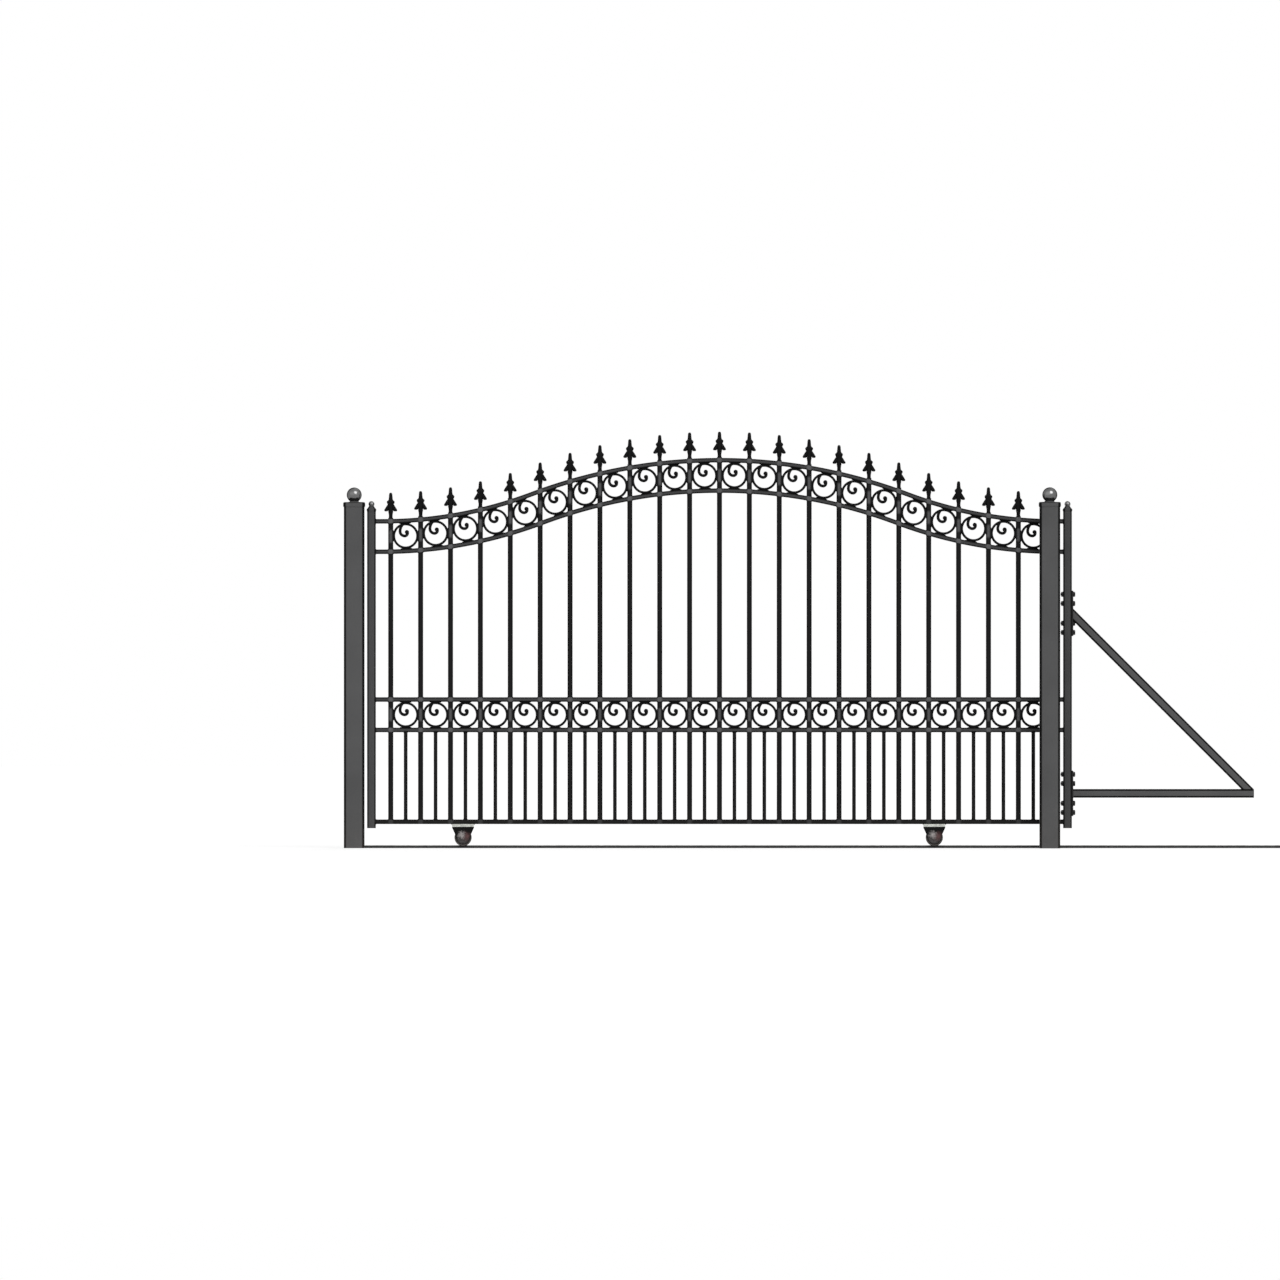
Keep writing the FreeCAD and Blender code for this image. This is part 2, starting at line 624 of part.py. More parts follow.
def make_leaf_frame(pickets):
    """Stiles with their caps, and the rails, punched where pickets pass through."""
    stiles = {
        "leading_stile": LEAF_LEFT + STILE_WIDTH / 2,
        "trailing_stile": LEAF_RIGHT - STILE_WIDTH / 2,
    }
    stile = square_tube(STILE_WIDTH, STILE_WALL, STILE_CORNER, STILE_TOP - STILE_FOOT)
    for name, x in stiles.items():
        write(name, moved(stile, x, 0, STILE_FOOT))
    cap = stile_cap()
    write("stile_caps", *[moved(cap, x, 0, STILE_TOP) for x in stiles.values()])
    write("bottom_rail", level_rail(BOTTOM_RAIL_Z))
    punched = {
        "lower_mid_rail": level_rail(LOWER_MID_Z),
        "upper_mid_rail": level_rail(UPPER_MID_Z),
        "lower_top_rail": bell_rail(-BAND_SPACING),
        "upper_top_rail": bell_rail(0),
    }
    for name, rail in punched.items():
        write(name, rail.cut(pickets))


def make_ironwork():
    """Scroll rings in every bay of both bands, and a spear on every picket."""
    bays = [bay_x(index) for index in range(PICKET_COUNT - 1)]
    ring = scroll_ring()
    middle = LOWER_MID_Z + BAND_SPACING / 2
    write("lower_rings", *[moved(ring, x, 0, middle) for x in bays])
    write("upper_rings", *[moved(ring, x, 0, bell_height(x, -BAND_SPACING / 2)) for x in bays])
    finial = spear()
    places = [picket_x(index) for index in range(PICKET_COUNT)]
    write("spears", *[moved(finial, x, 0, picket_top(x)) for x in places])


def make_leaf():
    """The sliding leaf, without its rollers and tail frame."""
    pickets = [picket(index) for index in range(PICKET_COUNT)]
    write("pickets", *pickets)
    write("dog_pickets", *[dog_picket(index) for index in range(PICKET_COUNT - 1)])
    make_leaf_frame(pickets)
    make_ironwork()


def make_rollers():
    """Two rollers under the bottom rail."""
    places = (FRONT_AXLE_X, REAR_AXLE_X)
    write("roller_mount_plates", *[mount_plate(x) for x in places])
    write("roller_brackets", *[roller_bracket(x) for x in places])
    write("roller_axles", *[roller_axle(x) for x in places])
    write("front_wheel", wheel(FRONT_AXLE_X))
    write("rear_wheel", wheel(REAR_AXLE_X))


def make_tail():
    """The triangular tail frame behind the trailing stile."""
    write("tail_lower_plate", tail_plate(TAIL_Z))
    write("tail_upper_plate", tail_plate(TAIL_Z + TAIL_CLIMB))
    write("tail_bottom_tube", tail_bottom_tube())
    write("tail_end_cap", tail_end_cap())
    write("tail_diagonal", tail_diagonal())


def main():
    os.makedirs("parts", exist_ok=True)
    make_posts()
    write("track", track())
    make_guide()
    make_leaf()
    make_rollers()
    make_tail()
    print("travel", round(TRAVEL, 3), "axle height", round(AXLE_Z, 3), "track end", round(TRACK_END, 3))
    print("axles", round(FRONT_AXLE_X, 3), round(REAR_AXLE_X, 3), "leaf right", round(LEAF_RIGHT, 3))
    print("right post", round(RIGHT_POST_X, 3), round(RIGHT_POST_Y, 3), "guide face", GUIDE_FACE_Y)


main()
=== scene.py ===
import math

import bmesh
import bpy
from bpy.props import FloatProperty, FloatVectorProperty, IntProperty, PointerProperty
from mathutils import Matrix, Vector


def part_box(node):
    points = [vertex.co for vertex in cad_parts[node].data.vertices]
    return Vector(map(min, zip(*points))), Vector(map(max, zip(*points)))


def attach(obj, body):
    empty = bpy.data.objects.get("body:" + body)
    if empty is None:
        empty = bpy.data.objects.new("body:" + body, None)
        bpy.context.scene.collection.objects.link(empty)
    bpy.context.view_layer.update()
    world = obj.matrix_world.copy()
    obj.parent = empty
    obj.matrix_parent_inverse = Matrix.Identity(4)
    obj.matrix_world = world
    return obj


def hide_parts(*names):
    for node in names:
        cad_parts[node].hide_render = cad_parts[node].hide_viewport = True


bl_info = {
    "name": "Sliding Driveway Gate",
    "version": (1, 0, 0),
    "blender": (4, 5, 0),
    "location": "View3D > Sidebar > Gate",
    "description": "Dresses a sliding gate with rounded bars, castings, fixings, paint and a studio",
    "category": "Object",
}

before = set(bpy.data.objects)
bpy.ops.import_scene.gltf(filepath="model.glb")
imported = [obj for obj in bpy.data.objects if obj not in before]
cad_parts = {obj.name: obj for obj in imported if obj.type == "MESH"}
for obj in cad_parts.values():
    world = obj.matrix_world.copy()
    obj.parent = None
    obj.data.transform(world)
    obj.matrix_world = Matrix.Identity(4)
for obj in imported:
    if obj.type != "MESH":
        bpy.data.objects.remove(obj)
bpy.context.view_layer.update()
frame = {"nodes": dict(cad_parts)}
NODES = frame["nodes"]

# Photograph: its side in pixels, the scale of the leaf's plane, and where the frame's origin lies in it
PHOTO_SIDE = 1280
METRES_PER_PIXEL = 0.0044
ORIGIN_PIXEL = (354.2, 848.0)
SENSOR_WIDTH = 36.0

# Studio floor: its height, and the grey and the glow that the camera sees
FLOOR_Z = -0.001
FLOOR_SHADE = 0.3
FLOOR_GLOW = 0.72
WHITE = (1, 1, 1, 1)

# Turns of what stands on points, round x, y and z
QUARTER = math.radians(90)
UPWARD = (0.0, 0.0, 0.0)
DOWNWARD = (2 * QUARTER, 0.0, 0.0)
RIGHTWARD = (0.0, QUARTER, 0.0)
LEFTWARD = (0.0, -QUARTER, 0.0)

# Angles in degrees from which an edge stays sharp
BAR_EDGE = 35
CAP_EDGE = 40
CASTING_EDGE = 50
WELD_EDGE = 80
BOLT_EDGE = 30

# Counts and proportions of the leaf that its boxes don't tell
PICKET_COUNT = 23
BELL_LEVEL_END = 0.029
CREST_SHARE = 0.558
LEVEL_RAILS = ("bottom_rail", "lower_mid_rail", "upper_mid_rail")

# How finely loops, arcs and balls are drawn, and the angle by which a ball stops short of its peak
LOOP_POINTS = 48
ARC_STEPS = 9
BALL_STEPS = 14
BALL_GAP = 0.03

# Points closer than this are one, and edges shorter than this go
MERGED = 1e-6
SLIVER = 1e-7

# Arcs of a scroll, the lead off the ring, the bowl and the hook: middle and radius in shares of the
# ring's radius, and the first angle and the sweep in degrees
SCROLL_ARCS = (
    (0.390, 0.393, 0.870, 139, 41),
    (-0.084, 0.393, 0.396, 180, 90),
    (-0.084, 0.243, 0.246, 270, 122),
)
SCROLL_DEPTH_SHARE = 0.95
KNOB_PLACE = (0.105, 0.325)

# Rows of a cap. A foot rises from the cap's mouth and a crown from the bar's top: rise, how much
# narrower than the rim, and how much rounder than the bar. A collar is a rise and how much its radius
# passes the neck's. A shoulder is a rise, a width and a corner. The slip is how much wider a mouth is
# than its bar, and the rim rows that are numbered carry painted shade by that share.
CAP_SLIP = 0.0002
RIM_PAINTED_SHADE = 0.6
POST_CAP_FOOT = ((0.0005, 0.003, 0.001), (0.004, 0.0, 0.002))
POST_CAP_CROWN = ((0.001, 0.0, 0.002), (0.005, 0.002, 0.002), (0.0075, 0.007, 0.002))
POST_CAP_COLLAR = ((0.0085, 0.006), (0.0095, 0.002))
POST_CAP_SHADED_RIMS = (4, 5)
STILE_CAP_FOOT = ((0.002, 0.002, 0.001), (0.006, 0.0, 0.003))
STILE_CAP_CROWN = ((0.0, 0.0, 0.004), (0.003, 0.003, 0.005), (0.007, 0.010, 0.006))
STILE_CAP_SHOULDER = (0.0115, 0.0260, 0.0115)
STILE_NECK_SHARE = 0.77
STILE_BALL_SEAT = 0.001

# Spear: rows of its spindle from the foot and down from the tip, as height, width and depth, and of a
# leaf, as height, distance off the axis, width and depth. Steps say which of a loop's points are kept.
# The leaf's distances are for the barb span that is named here.
SPINDLE = (
    (0.0, 0.0170, 0.0165),
    (0.012, 0.0165, 0.0160),
    (0.019, 0.0188, 0.0170),
    (0.026, 0.0215, 0.0185),
    (0.034, 0.0215, 0.0180),
    (0.046, 0.0200, 0.0170),
    (0.056, 0.0235, 0.0160),
    (0.060, 0.0270, 0.0160),
    (0.064, 0.0315, 0.0165),
    (0.069, 0.0350, 0.0170),
    (0.0735, 0.0330, 0.0165),
    (0.077, 0.0240, 0.0160),
    (0.081, 0.0185, 0.0155),
    (0.092, 0.0162, 0.0145),
)
SPINDLE_TIP = ((0.009, 0.0148, 0.0135), (0.003, 0.0125, 0.0115), (0.0, 0.0060, 0.0060))
SPINDLE_STEP = 3
SPEAR_LEAF = (
    (0.0288, 0.0203, 0.0085, 0.0045),
    (0.0300, 0.0201, 0.0140, 0.0070),
    (0.033, 0.0197, 0.0180, 0.0082),
    (0.036, 0.0189, 0.0190, 0.0088),
    (0.041, 0.0162, 0.0184, 0.0092),
    (0.048, 0.0127, 0.0168, 0.0092),
    (0.055, 0.0095, 0.0142, 0.0092),
    (0.061, 0.0070, 0.0110, 0.0080),
)
LEAF_STEP = 4
LEAF_SPAN = 0.057

# Welds: grain and height of their lumps, the beads round the rollers' plates, and a tack's depth
WELD_GRAIN = 220.0
WELD_LUMP = 0.002
PLATE_BEAD = 0.0035
PLATE_BEAD_MARGIN = 0.002
TACK_DEPTH = 1.4

# Bolts and screws: height of the head, width of the washer, and how far the end stands out
SMALL_SCREW = (0.004, 0.013, 0.0008)
GUIDE_BOLT = (0.0045, 0.014, 0.001)
TAIL_BOLT_END = 0.001
TAIL_NUT_END = 0.003
TAIL_BOLT_RISES = (-0.084, -0.0435, 0.0435, 0.084)
ROLLER_BOLT_INSET = 0.010
ROLLER_BOLT_DROP = 0.004
GUIDE_BOLT_DEPTH = 0.005
GUIDE_BOLT_INSET = 0.010
FLANGE_TOP = 0.003
FLANGE_INSET = 0.008

# Half of a wheel's profile: a hub, as depth under the face and radius; a rim, as depth under the face
# and under the tread; a groove, as half its width and depth under the
# tread; plays keep the turned shapes inside their CAD boxes
BORE = 0.0064
WHEEL_PLAY = 0.0002
WHEEL_HUB = ((0.0, BORE), (0.0, 0.013), (0.0005, 0.0135), (0.003, 0.0145))
WHEEL_RIM = ((0.003, 0.009), (0.0006, 0.0075), (0.0, 0.0065), (0.0, 0.0012), (0.0012, 0.0))
WHEEL_GROOVE = ((0.0050, 0.0), (0.0004, 0.0047))
GUIDE_ROLLER_PLAY = 0.0001
GUIDE_ROLLER_EDGE = 0.003

# Reach of paler paint: on a rail off a picket's middle, and on a picket off a ring's middle
PICKET_REACH = (0.014, 0.006)
RING_REACH = (0.022, 0.032)

# Colour of dust and how high it reaches, and between which shares of its height the track is worn
DUST = (0.24, 0.21, 0.18, 1.0)
DUST_HEIGHT = 0.22
TRACK_WORN = (0.80, 0.97)

# Grain of castings, scuffed nylon and polished balls. The drift of its tone is a noise's scale and
# detail and two tones. Its relief is a noise's scale and detail, and a distance and a strength.
CAST_GRAIN = ((40.0, 3.0, 0.75, 1.3), (420.0, 4.0, 0.0006, 0.3))
NYLON_GRAIN = ((80.0, 3.0, 0.8, 1.25), (300.0, 2.0, 0.0002, 0.2))
BALL_GRAIN = ((35.0, 3.0, 0.88, 1.12), (500.0, 2.0, 0.0002, 0.1))


def size_of(node):
    """Width, depth and height of a CAD node."""
    low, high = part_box(node)
    return high - low


def middle_of(node):
    """Middle of a CAD node's box."""
    low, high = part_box(node)
    return (low + high) / 2


# Sizes read from the frame
RAIL_LENGTH, RAIL_DEPTH, RAIL_HEIGHT = size_of("bottom_rail")
INNER_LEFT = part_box("bottom_rail")[0].x
CENTRE_X = INNER_LEFT + RAIL_LENGTH / 2
PICKET_PITCH = RAIL_LENGTH / PICKET_COUNT
PICKET_WIDTH = size_of("pickets").y
DOG_WIDTH = size_of("dog_pickets").y
PICKET_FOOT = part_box("pickets")[0].z
RING_DIAMETER = size_of("lower_rings").z
RING_DEPTH = size_of("lower_rings").y
RING_Z = middle_of("lower_rings").z
TAIL_WIDTH = size_of("tail_bottom_tube").z
AXLES = {side: middle_of(side + "_wheel") for side in ("front", "rear")}
PLATE_LENGTH = size_of("roller_mount_plates").x - (AXLES["rear"].x - AXLES["front"].x)

# Bell curve of the upper top rail: a crest arc between two hollow shoulder arcs
SHOULDER_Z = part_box("upper_top_rail")[0].z + RAIL_HEIGHT / 2
BELL_RISE = size_of("upper_top_rail").z - RAIL_HEIGHT
BAND_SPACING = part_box("upper_top_rail")[0].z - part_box("lower_top_rail")[0].z
BELL_HALF_SPAN = RAIL_LENGTH / 2 - BELL_LEVEL_END
BELL_ANGLE = 2 * math.atan(BELL_RISE / BELL_HALF_SPAN)
CREST_RADIUS = BELL_HALF_SPAN / math.sin(BELL_ANGLE) * CREST_SHARE
SHOULDER_RADIUS = BELL_HALF_SPAN / math.sin(BELL_ANGLE) - CREST_RADIUS


def bell_height(x, offset):
    """Height of a line that runs parallel to the bell curve."""
    run = abs(x - CENTRE_X)
    crest = CREST_RADIUS + offset
    shoulder = SHOULDER_RADIUS - offset
    if run <= crest * math.sin(BELL_ANGLE):
        return SHOULDER_Z + BELL_RISE - CREST_RADIUS + math.sqrt(crest**2 - run**2)
    if run < BELL_HALF_SPAN:
        return SHOULDER_Z + SHOULDER_RADIUS - math.sqrt(shoulder**2 - (BELL_HALF_SPAN - run) ** 2)
    return SHOULDER_Z + offset


def bell_slope(x, offset):
    """Angle of the bell curve at x, upwards to the right."""
    step = 0.002
    rise = bell_height(x + step, offset) - bell_height(x - step, offset)
    return math.atan2(rise, 2 * step)


def band_height(x):
    """Middle of the band between the two curved rails."""
    return bell_height(x, -BAND_SPACING / 2)


PICKETS = [INNER_LEFT + (index + 0.5) * PICKET_PITCH for index in range(PICKET_COUNT)]
BAYS = [x + PICKET_PITCH / 2 for x in PICKETS[:-1]]
PICKET_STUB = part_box("pickets")[1].z - bell_height(CENTRE_X, RAIL_HEIGHT / 2)
SPEAR_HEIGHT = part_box("spears")[1].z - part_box("pickets")[1].z


def picket_top(x):
    """Where a picket ends, a stub above the middle of the upper rail's sloping top."""
    return bell_height(x, RAIL_HEIGHT / 2) + PICKET_STUB


def length(name, description, default):
    """A property that holds a size in metres."""
    return FloatProperty(
        name=name, description=description, default=default, min=0.0, precision=4, unit="LENGTH"
    )


def colour(name, description, default):
    """A property that holds a paint's linear colour."""
    return FloatVectorProperty(
        name=name, description=description, default=default, min=0.0, max=1.0, subtype="COLOR"
    )


class GateBarSettings(bpy.types.PropertyGroup):
    """Rounding of tubes and bars."""

    post_corner: length("Post Corner", "Corner radius of the posts", 0.010)
    stile_corner: length("Stile Corner", "Corner radius of the stiles", 0.006)
    tail_corner: length("Tail Corner", "Corner radius of the tail frame's tubes", 0.006)
    rail_corner: length("Rail Corner", "Corner radius of the rails", 0.003)
    picket_corner: length("Picket Corner", "Corner radius of the pickets", 0.0025)
    bell_steps: IntProperty(
        name="Bell Steps", description="Lengths that make up a curved rail", default=140, min=20
    )


class GateCastingSettings(bpy.types.PropertyGroup):
    """Scroll rings, spear points and balls."""

    ring_bar: length("Ring Bar", "Width of the bar that a ring is bent from", 0.0105)
    ring_bite: length("Ring Bite", "How far a ring is let into its pickets", 0.0022)
    scroll_bar: length("Scroll Bar", "Width of the bar of a ring's scroll", 0.0128)
    ring_edge: length("Ring Edge", "Rounding of that bar's edges", 0.002)
    knob: length("Knob", "Radius of the knob in a scroll's hook", 0.0095)
    ball: length("Ball", "Diameter of a post's ball", 0.066)
    ball_neck: length("Ball Neck", "Diameter of the neck under a post's ball", 0.038)
    stile_ball: length("Stile Ball", "Diameter of a stile's ball", 0.026)
    barb_span: length("Barb Span", "Distance between the tips of a spear's barbs", 0.057)


class GateFixingSettings(bpy.types.PropertyGroup):
    """Bolts, screws and welds."""

    bolt_head: length("Bolt Head", "Width across the flats of the tail frame's bolts", 0.019)
    bolt_height: length("Bolt Height", "Height of a bolt's head", 0.0075)
    washer: length("Washer", "Diameter of a washer", 0.024)
    screw_head: length("Screw Head", "Width of the heads of screws and small bolts", 0.010)
    screw_pitch: length("Screw Pitch", "Distance between the track's screws", 0.5)
    bead: length("Weld Bead", "Radius of a weld bead", 0.0024)
    tack: length("Tack Weld", "Radius of the welds that hold a ring", 0.0035)
    tack_run: length("Tack Run", "Half the length of those welds", 0.027)


class GatePaintSettings(bpy.types.PropertyGroup):
    """Colours of the finishes."""

    post: colour("Post", "Grey of the posts and the tail frame", (0.080, 0.080, 0.081))
    frame: colour("Frame", "Grey of the stiles", (0.062, 0.062, 0.063))
    ball: colour("Ball", "Dark metal of the balls", (0.155, 0.155, 0.155))
    rails: colour("Rails", "Charcoal of the rails", (0.045, 0.045, 0.046))
    bars: colour("Bars", "Charcoal of the pickets and the bottom rail", (0.008, 0.008, 0.0082))
    castings: colour("Castings", "Black of rings and spears", (0.0035, 0.0035, 0.0037))
    zinc: colour("Zinc", "Galvanised plates and bolts", (0.44, 0.45, 0.42))
    # These two colours are painted light on the roller brackets beside their axles: the first a pale
    # painted highlight, the second a grey painted as light
    painted_highlight: colour("Rubbed", "Pale metal of rubbed roller brackets", (0.36, 0.335, 0.33))
    painted_lit_grey: colour("Grime", "Grey film round the rollers' axles", (0.10, 0.093, 0.092))
    rust: colour("Rust", "Rust on the roller brackets", (0.105, 0.055, 0.055))
    wheel: colour("Wheel", "Dark steel of the wheels", (0.06, 0.055, 0.052))
    track: colour("Track", "Grey black of the track", (0.018, 0.018, 0.018))
    crest: colour("Crest", "Bright steel of the track's worn crest", (0.42, 0.42, 0.41))
    nylon: colour("Nylon", "Black of the guide rollers", (0.02, 0.02, 0.021))
    floor: colour("Floor", "Studio floor", (0.8, 0.8, 0.8))


class GateStudioSettings(bpy.types.PropertyGroup):
    """Camera and light."""

    lens: FloatProperty(name="Lens", description="Focal length in millimetres", default=600.0)
    key: FloatProperty(name="Key", description="Strength of the key light", default=2.1)
    fill: FloatProperty(name="Fill", description="Strength of the fill light", default=0.55)
    back: FloatProperty(name="Back", description="Strength of the light behind", default=1.6)
    sky: FloatProperty(name="Sky", description="Strength of the surrounding light", default=0.3)
    floor_size: length("Floor Size", "Half the width of the floor", 60.0)


class Web:
    """A node tree, with short ways to add to it that return what they add."""

    def __init__(self, tree):
        self.tree = tree

    def feed(self, socket, value):
        """Links a socket to another, or sets its value."""
        if isinstance(value, bpy.types.NodeSocket):
            self.tree.links.new(value, socket)
        else:
            socket.default_value = value

    def add(self, kind, inputs=None, output=0, **settings):
        """Adds a node with its inputs, and returns one of its outputs."""
        made = self.tree.nodes.new(kind)
        for key, value in settings.items():
            setattr(made, key, value)
        for key, value in (inputs or {}).items():
            self.feed(made.inputs[key], value)
        return made.outputs[output]

    def maths(self, operation, first, second=0.0):
        """Arithmetic on numbers."""
        return self.add("ShaderNodeMath", {0: first, 1: second}, operation=operation)

    def times(self, first, second):
        """A product."""
        return self.maths("MULTIPLY", first, second)

    def vector_maths(self, operation, first, second=(0.0, 0.0, 0.0), output=0):
        """Arithmetic on vectors."""
        return self.add("ShaderNodeVectorMath", {0: first, 1: second}, output, operation=operation)

    def vector(self, x=0.0, y=0.0, z=0.0):
        """A vector of numbers or sockets."""
        return self.add("ShaderNodeCombineXYZ", {"X": x, "Y": y, "Z": z})

    def part(self, whole, axis):
        """One number of a vector."""
        return self.add("ShaderNodeSeparateXYZ", {"Vector": whole}, axis)


class Shape(Web):
    """A geometry node tree on points. Its inputs are a finish, named lengths and perhaps an object."""

    def __init__(self, name, lengths="", thing=None):
        super().__init__(bpy.data.node_groups.new(name, "GeometryNodeTree"))
        labels = {"Geometry": "Geometry", "Finish": "Material"}
        labels.update((label, "Float") for label in lengths.split())
        if thing:
            labels[thing] = "Object"
        sockets = self.tree.interface
        for label, kind in labels.items():
            sockets.new_socket(label, in_out="INPUT", socket_type="NodeSocket" + kind)
        sockets.new_socket("Geometry", in_out="OUTPUT", socket_type="NodeSocketGeometry")
        start = self.tree.nodes.new("NodeGroupInput")
        self.given = {socket.name: socket for socket in start.outputs}

    def __getitem__(self, label):
        return self.given[label]

    def make(self, kind, output=0, **inputs):
        """Adds a geometry node, with _ for a space in the names of its inputs."""
        named = {label.replace("_", " "): value for label, value in inputs.items()}
        return self.add("GeometryNode" + kind, named, output)

    def rounded(self, width, height, corner, steps):
        """A rounded rectangle that a bar follows. Its points keep their place in it, from -1 to 1."""
        outline = self.make("CurvePrimitiveQuadrilateral", Width=width, Height=height)
        inputs = {"Curve": outline, "Count": steps, "Radius": corner, "Limit Radius": True}
        rounded = self.add("GeometryNodeFilletCurve", inputs, mode="POLY")
        half = self.vector(self.times(width, 0.5), self.times(height, 0.5), 1.0)
        share = self.vector_maths("DIVIDE", self.make("InputPosition"), half)
        inputs = {"Geometry": rounded, "Name": "section", "Value": share}
        return self.add("GeometryNodeStoreNamedAttribute", inputs, data_type="FLOAT_VECTOR")

    def sweep(self, curve, profile, caps=True):
        """A bar of a given section along a curve."""
        return self.make("CurveToMesh", Curve=curve, Profile_Curve=profile, Fill_Caps=caps)

    def bend(self, curve, profile):
        """A bar along a curve, with its section kept upright."""
        level = self.add("GeometryNodeSetCurveNormal", {"Curve": curve}, mode="Z_UP")
        return self.sweep(level, profile)

    def joined(self, *parts):
        """Several geometries as one."""
        made = self.tree.nodes.new("GeometryNodeJoinGeometry")
        for part in reversed(parts):
            self.tree.links.new(part, made.inputs[0])
        return made.outputs[0]

    def stored(self, name, kind):
        """A value stored on the points."""
        return self.add("GeometryNodeInputNamedAttribute", {"Name": name}, data_type=kind)

    def on_points(self, instance, **inputs):
        """A copy on each point."""
        return self.make("InstanceOnPoints", Points=self["Geometry"], Instance=instance, **inputs)

    def facing_points(self, instance):
        """A copy on each point, turned as the point says."""
        return self.on_points(instance, Rotation=self.stored("facing", "FLOAT_VECTOR"))

    def end(self, geometry):
        """Ends the tree with real geometry in its finish."""
        real = self.make("RealizeInstances", Geometry=geometry)
        painted = self.make("SetMaterial", Geometry=real, Material=self["Finish"])
        self.tree.links.new(painted, self.tree.nodes.new("NodeGroupOutput").inputs[0])
        return self.tree


def upright_bars_tree():
    """Rounded square bars that stand on points, each as tall as its point says."""
    shape = Shape("Upright Bars", "Width Corner")
    line = shape.make("CurvePrimitiveLine", Start=(0, 0, 0), End=(0, 0, 1))
    bar = shape.sweep(line, shape.rounded(shape["Width"], shape["Width"], shape["Corner"], 4))
    tall = shape.vector(1.0, 1.0, shape.stored("height", "FLOAT"))
    return shape.end(shape.on_points(bar, Scale=tall))


def swept_rails_tree():
    """Rounded rails that follow lines of edges."""
    shape = Shape("Swept Rails", "Height Depth Corner")
    profile = shape.rounded(shape["Depth"], shape["Height"], shape["Corner"], 3)
    return shape.end(shape.bend(shape.make("MeshToCurve", Mesh=shape["Geometry"]), profile))


def scroll_line():
    """Points along a scroll, in shares of its ring's radius."""
    points = []
    for x, y, radius, first, sweep in SCROLL_ARCS:
        for step in range(1 if points else 0, ARC_STEPS + 1):
            turn = math.radians(first + sweep * step / ARC_STEPS)
            points.append((x + radius * math.cos(turn), y + radius * math.sin(turn), 0.0))
    return points


def scroll_rings_tree():
    """Rings whose scroll leads off the top, bowls down to the middle and hooks up into a knob."""
    shape = Shape("Scroll Rings", "Radius Bar Scroll Depth Edge Knob", "Line")
    radius, depth, edge = shape["Radius"], shape["Depth"], shape["Edge"]
    ring = shape.make("CurvePrimitiveCircle", Resolution=LOOP_POINTS, Radius=radius)
    line = shape.make("ObjectInfo", "Geometry", Object=shape["Line"])
    scroll = shape.make("MeshToCurve", Mesh=line)
    scroll = shape.make("Transform", Geometry=scroll, Scale=shape.vector(radius, radius, 1.0))
    thinner = shape.times(depth, SCROLL_DEPTH_SHARE)
    knob = shape.make("MeshUVSphere", Segments=14, Rings=8, Radius=shape["Knob"])
    tip = shape.vector(*(shape.times(radius, share) for share in KNOB_PLACE))
    flat = shape.joined(
        shape.bend(ring, shape.rounded(shape["Bar"], depth, edge, 1)),
        shape.bend(scroll, shape.rounded(shape["Scroll"], thinner, edge, 1)),
        shape.make("Transform", Geometry=knob, Translation=tip),
    )
    return shape.end(shape.on_points(shape.make("Transform", Geometry=flat, Rotation=(QUARTER, 0, 0))))


def castings_tree():
    """Copies of one casting on points."""
    shape = Shape("Castings", thing="Casting")
    return shape.end(shape.on_points(shape.make("ObjectInfo", "Geometry", Object=shape["Casting"])))


def bolts_tree():
    """Hexagon heads on washers, with a bolt's end that stands out of them."""
    shape = Shape("Bolts", "Head Height Washer End")
    height, head = shape["Height"], shape["Head"]
    washer = shape.times(shape["Washer"], 0.5)
    corner = shape.times(head, 1 / math.sqrt(3))
    parts = []
    for sides, foot, top, depth, rise in (
        (18, washer, None, shape.times(height, 0.25), 0.125),
        (6, corner, None, shape.times(height, 0.8), 0.6),
        (6, corner, shape.times(corner, 0.82), shape.times(height, 0.2), 1.0),
        (12, shape.times(head, 0.31), shape.times(head, 0.27), shape["End"], 1.1),
    ):
        if top:
            radii = {"Radius_Bottom": foot, "Radius_Top": top}
            part = shape.make("MeshCone", Vertices=sides, Depth=depth, **radii)
        else:
            part = shape.make("MeshCylinder", Vertices=sides, Depth=depth, Radius=foot)
        lift = shape.vector(z=shape.times(height, rise))
        parts.append(shape.make("Transform", Geometry=part, Translation=lift))
    return shape.end(shape.facing_points(shape.joined(*parts)))


def welds_tree():
    """Lumpy beads round bars and plates, tilted with what they lie on."""
    shape = Shape("Welds", "Width Depth Bead")
    path = shape.rounded(shape["Width"], shape["Depth"], shape["Bead"], 1)
    section = shape.make("CurvePrimitiveCircle", Resolution=5, Radius=shape["Bead"])
    beads = shape.facing_points(shape.sweep(path, section, caps=False))
    real = shape.make("RealizeInstances", Geometry=beads)
    lumps = shape.add("ShaderNodeTexNoise", {"Scale": WELD_GRAIN, "Detail": 1.0}, "Color")
    centred = shape.vector_maths("SUBTRACT", lumps, (0.5, 0.5, 0.5))
    push = shape.vector_maths("MULTIPLY", centred, (WELD_LUMP, WELD_LUMP, WELD_LUMP))
    return shape.end(shape.make("SetPosition", Geometry=real, Offset=push))


def tacks_tree():
    """Short welds where a ring meets its pickets and rails."""
    shape = Shape("Tacks", "Radius Length")
    drop = shape.make("MeshUVSphere", Segments=8, Rings=6, Radius=shape["Radius"])
    longer = shape.maths("DIVIDE", shape["Length"], shape["Radius"])
    tack = shape.make("Transform", Geometry=drop, Scale=shape.vector(1.0, TACK_DEPTH, longer))
    return shape.end(shape.facing_points(tack))


FINISHES = {}


def linked(name, data):
    """An object in the scene that holds a mesh, a light or a camera."""
    made = bpy.data.objects.new(name, data)
    bpy.context.scene.collection.objects.link(made)
    return made


def chain(first, count):
    """Edges that join points in a row."""
    return [(index, index + 1) for index in range(first, first + count - 1)]


def wire(name, points, edges):
    """A mesh of points and edges."""
    mesh = bpy.data.meshes.new(name)
    mesh.from_pydata(points, edges, [])
    return mesh


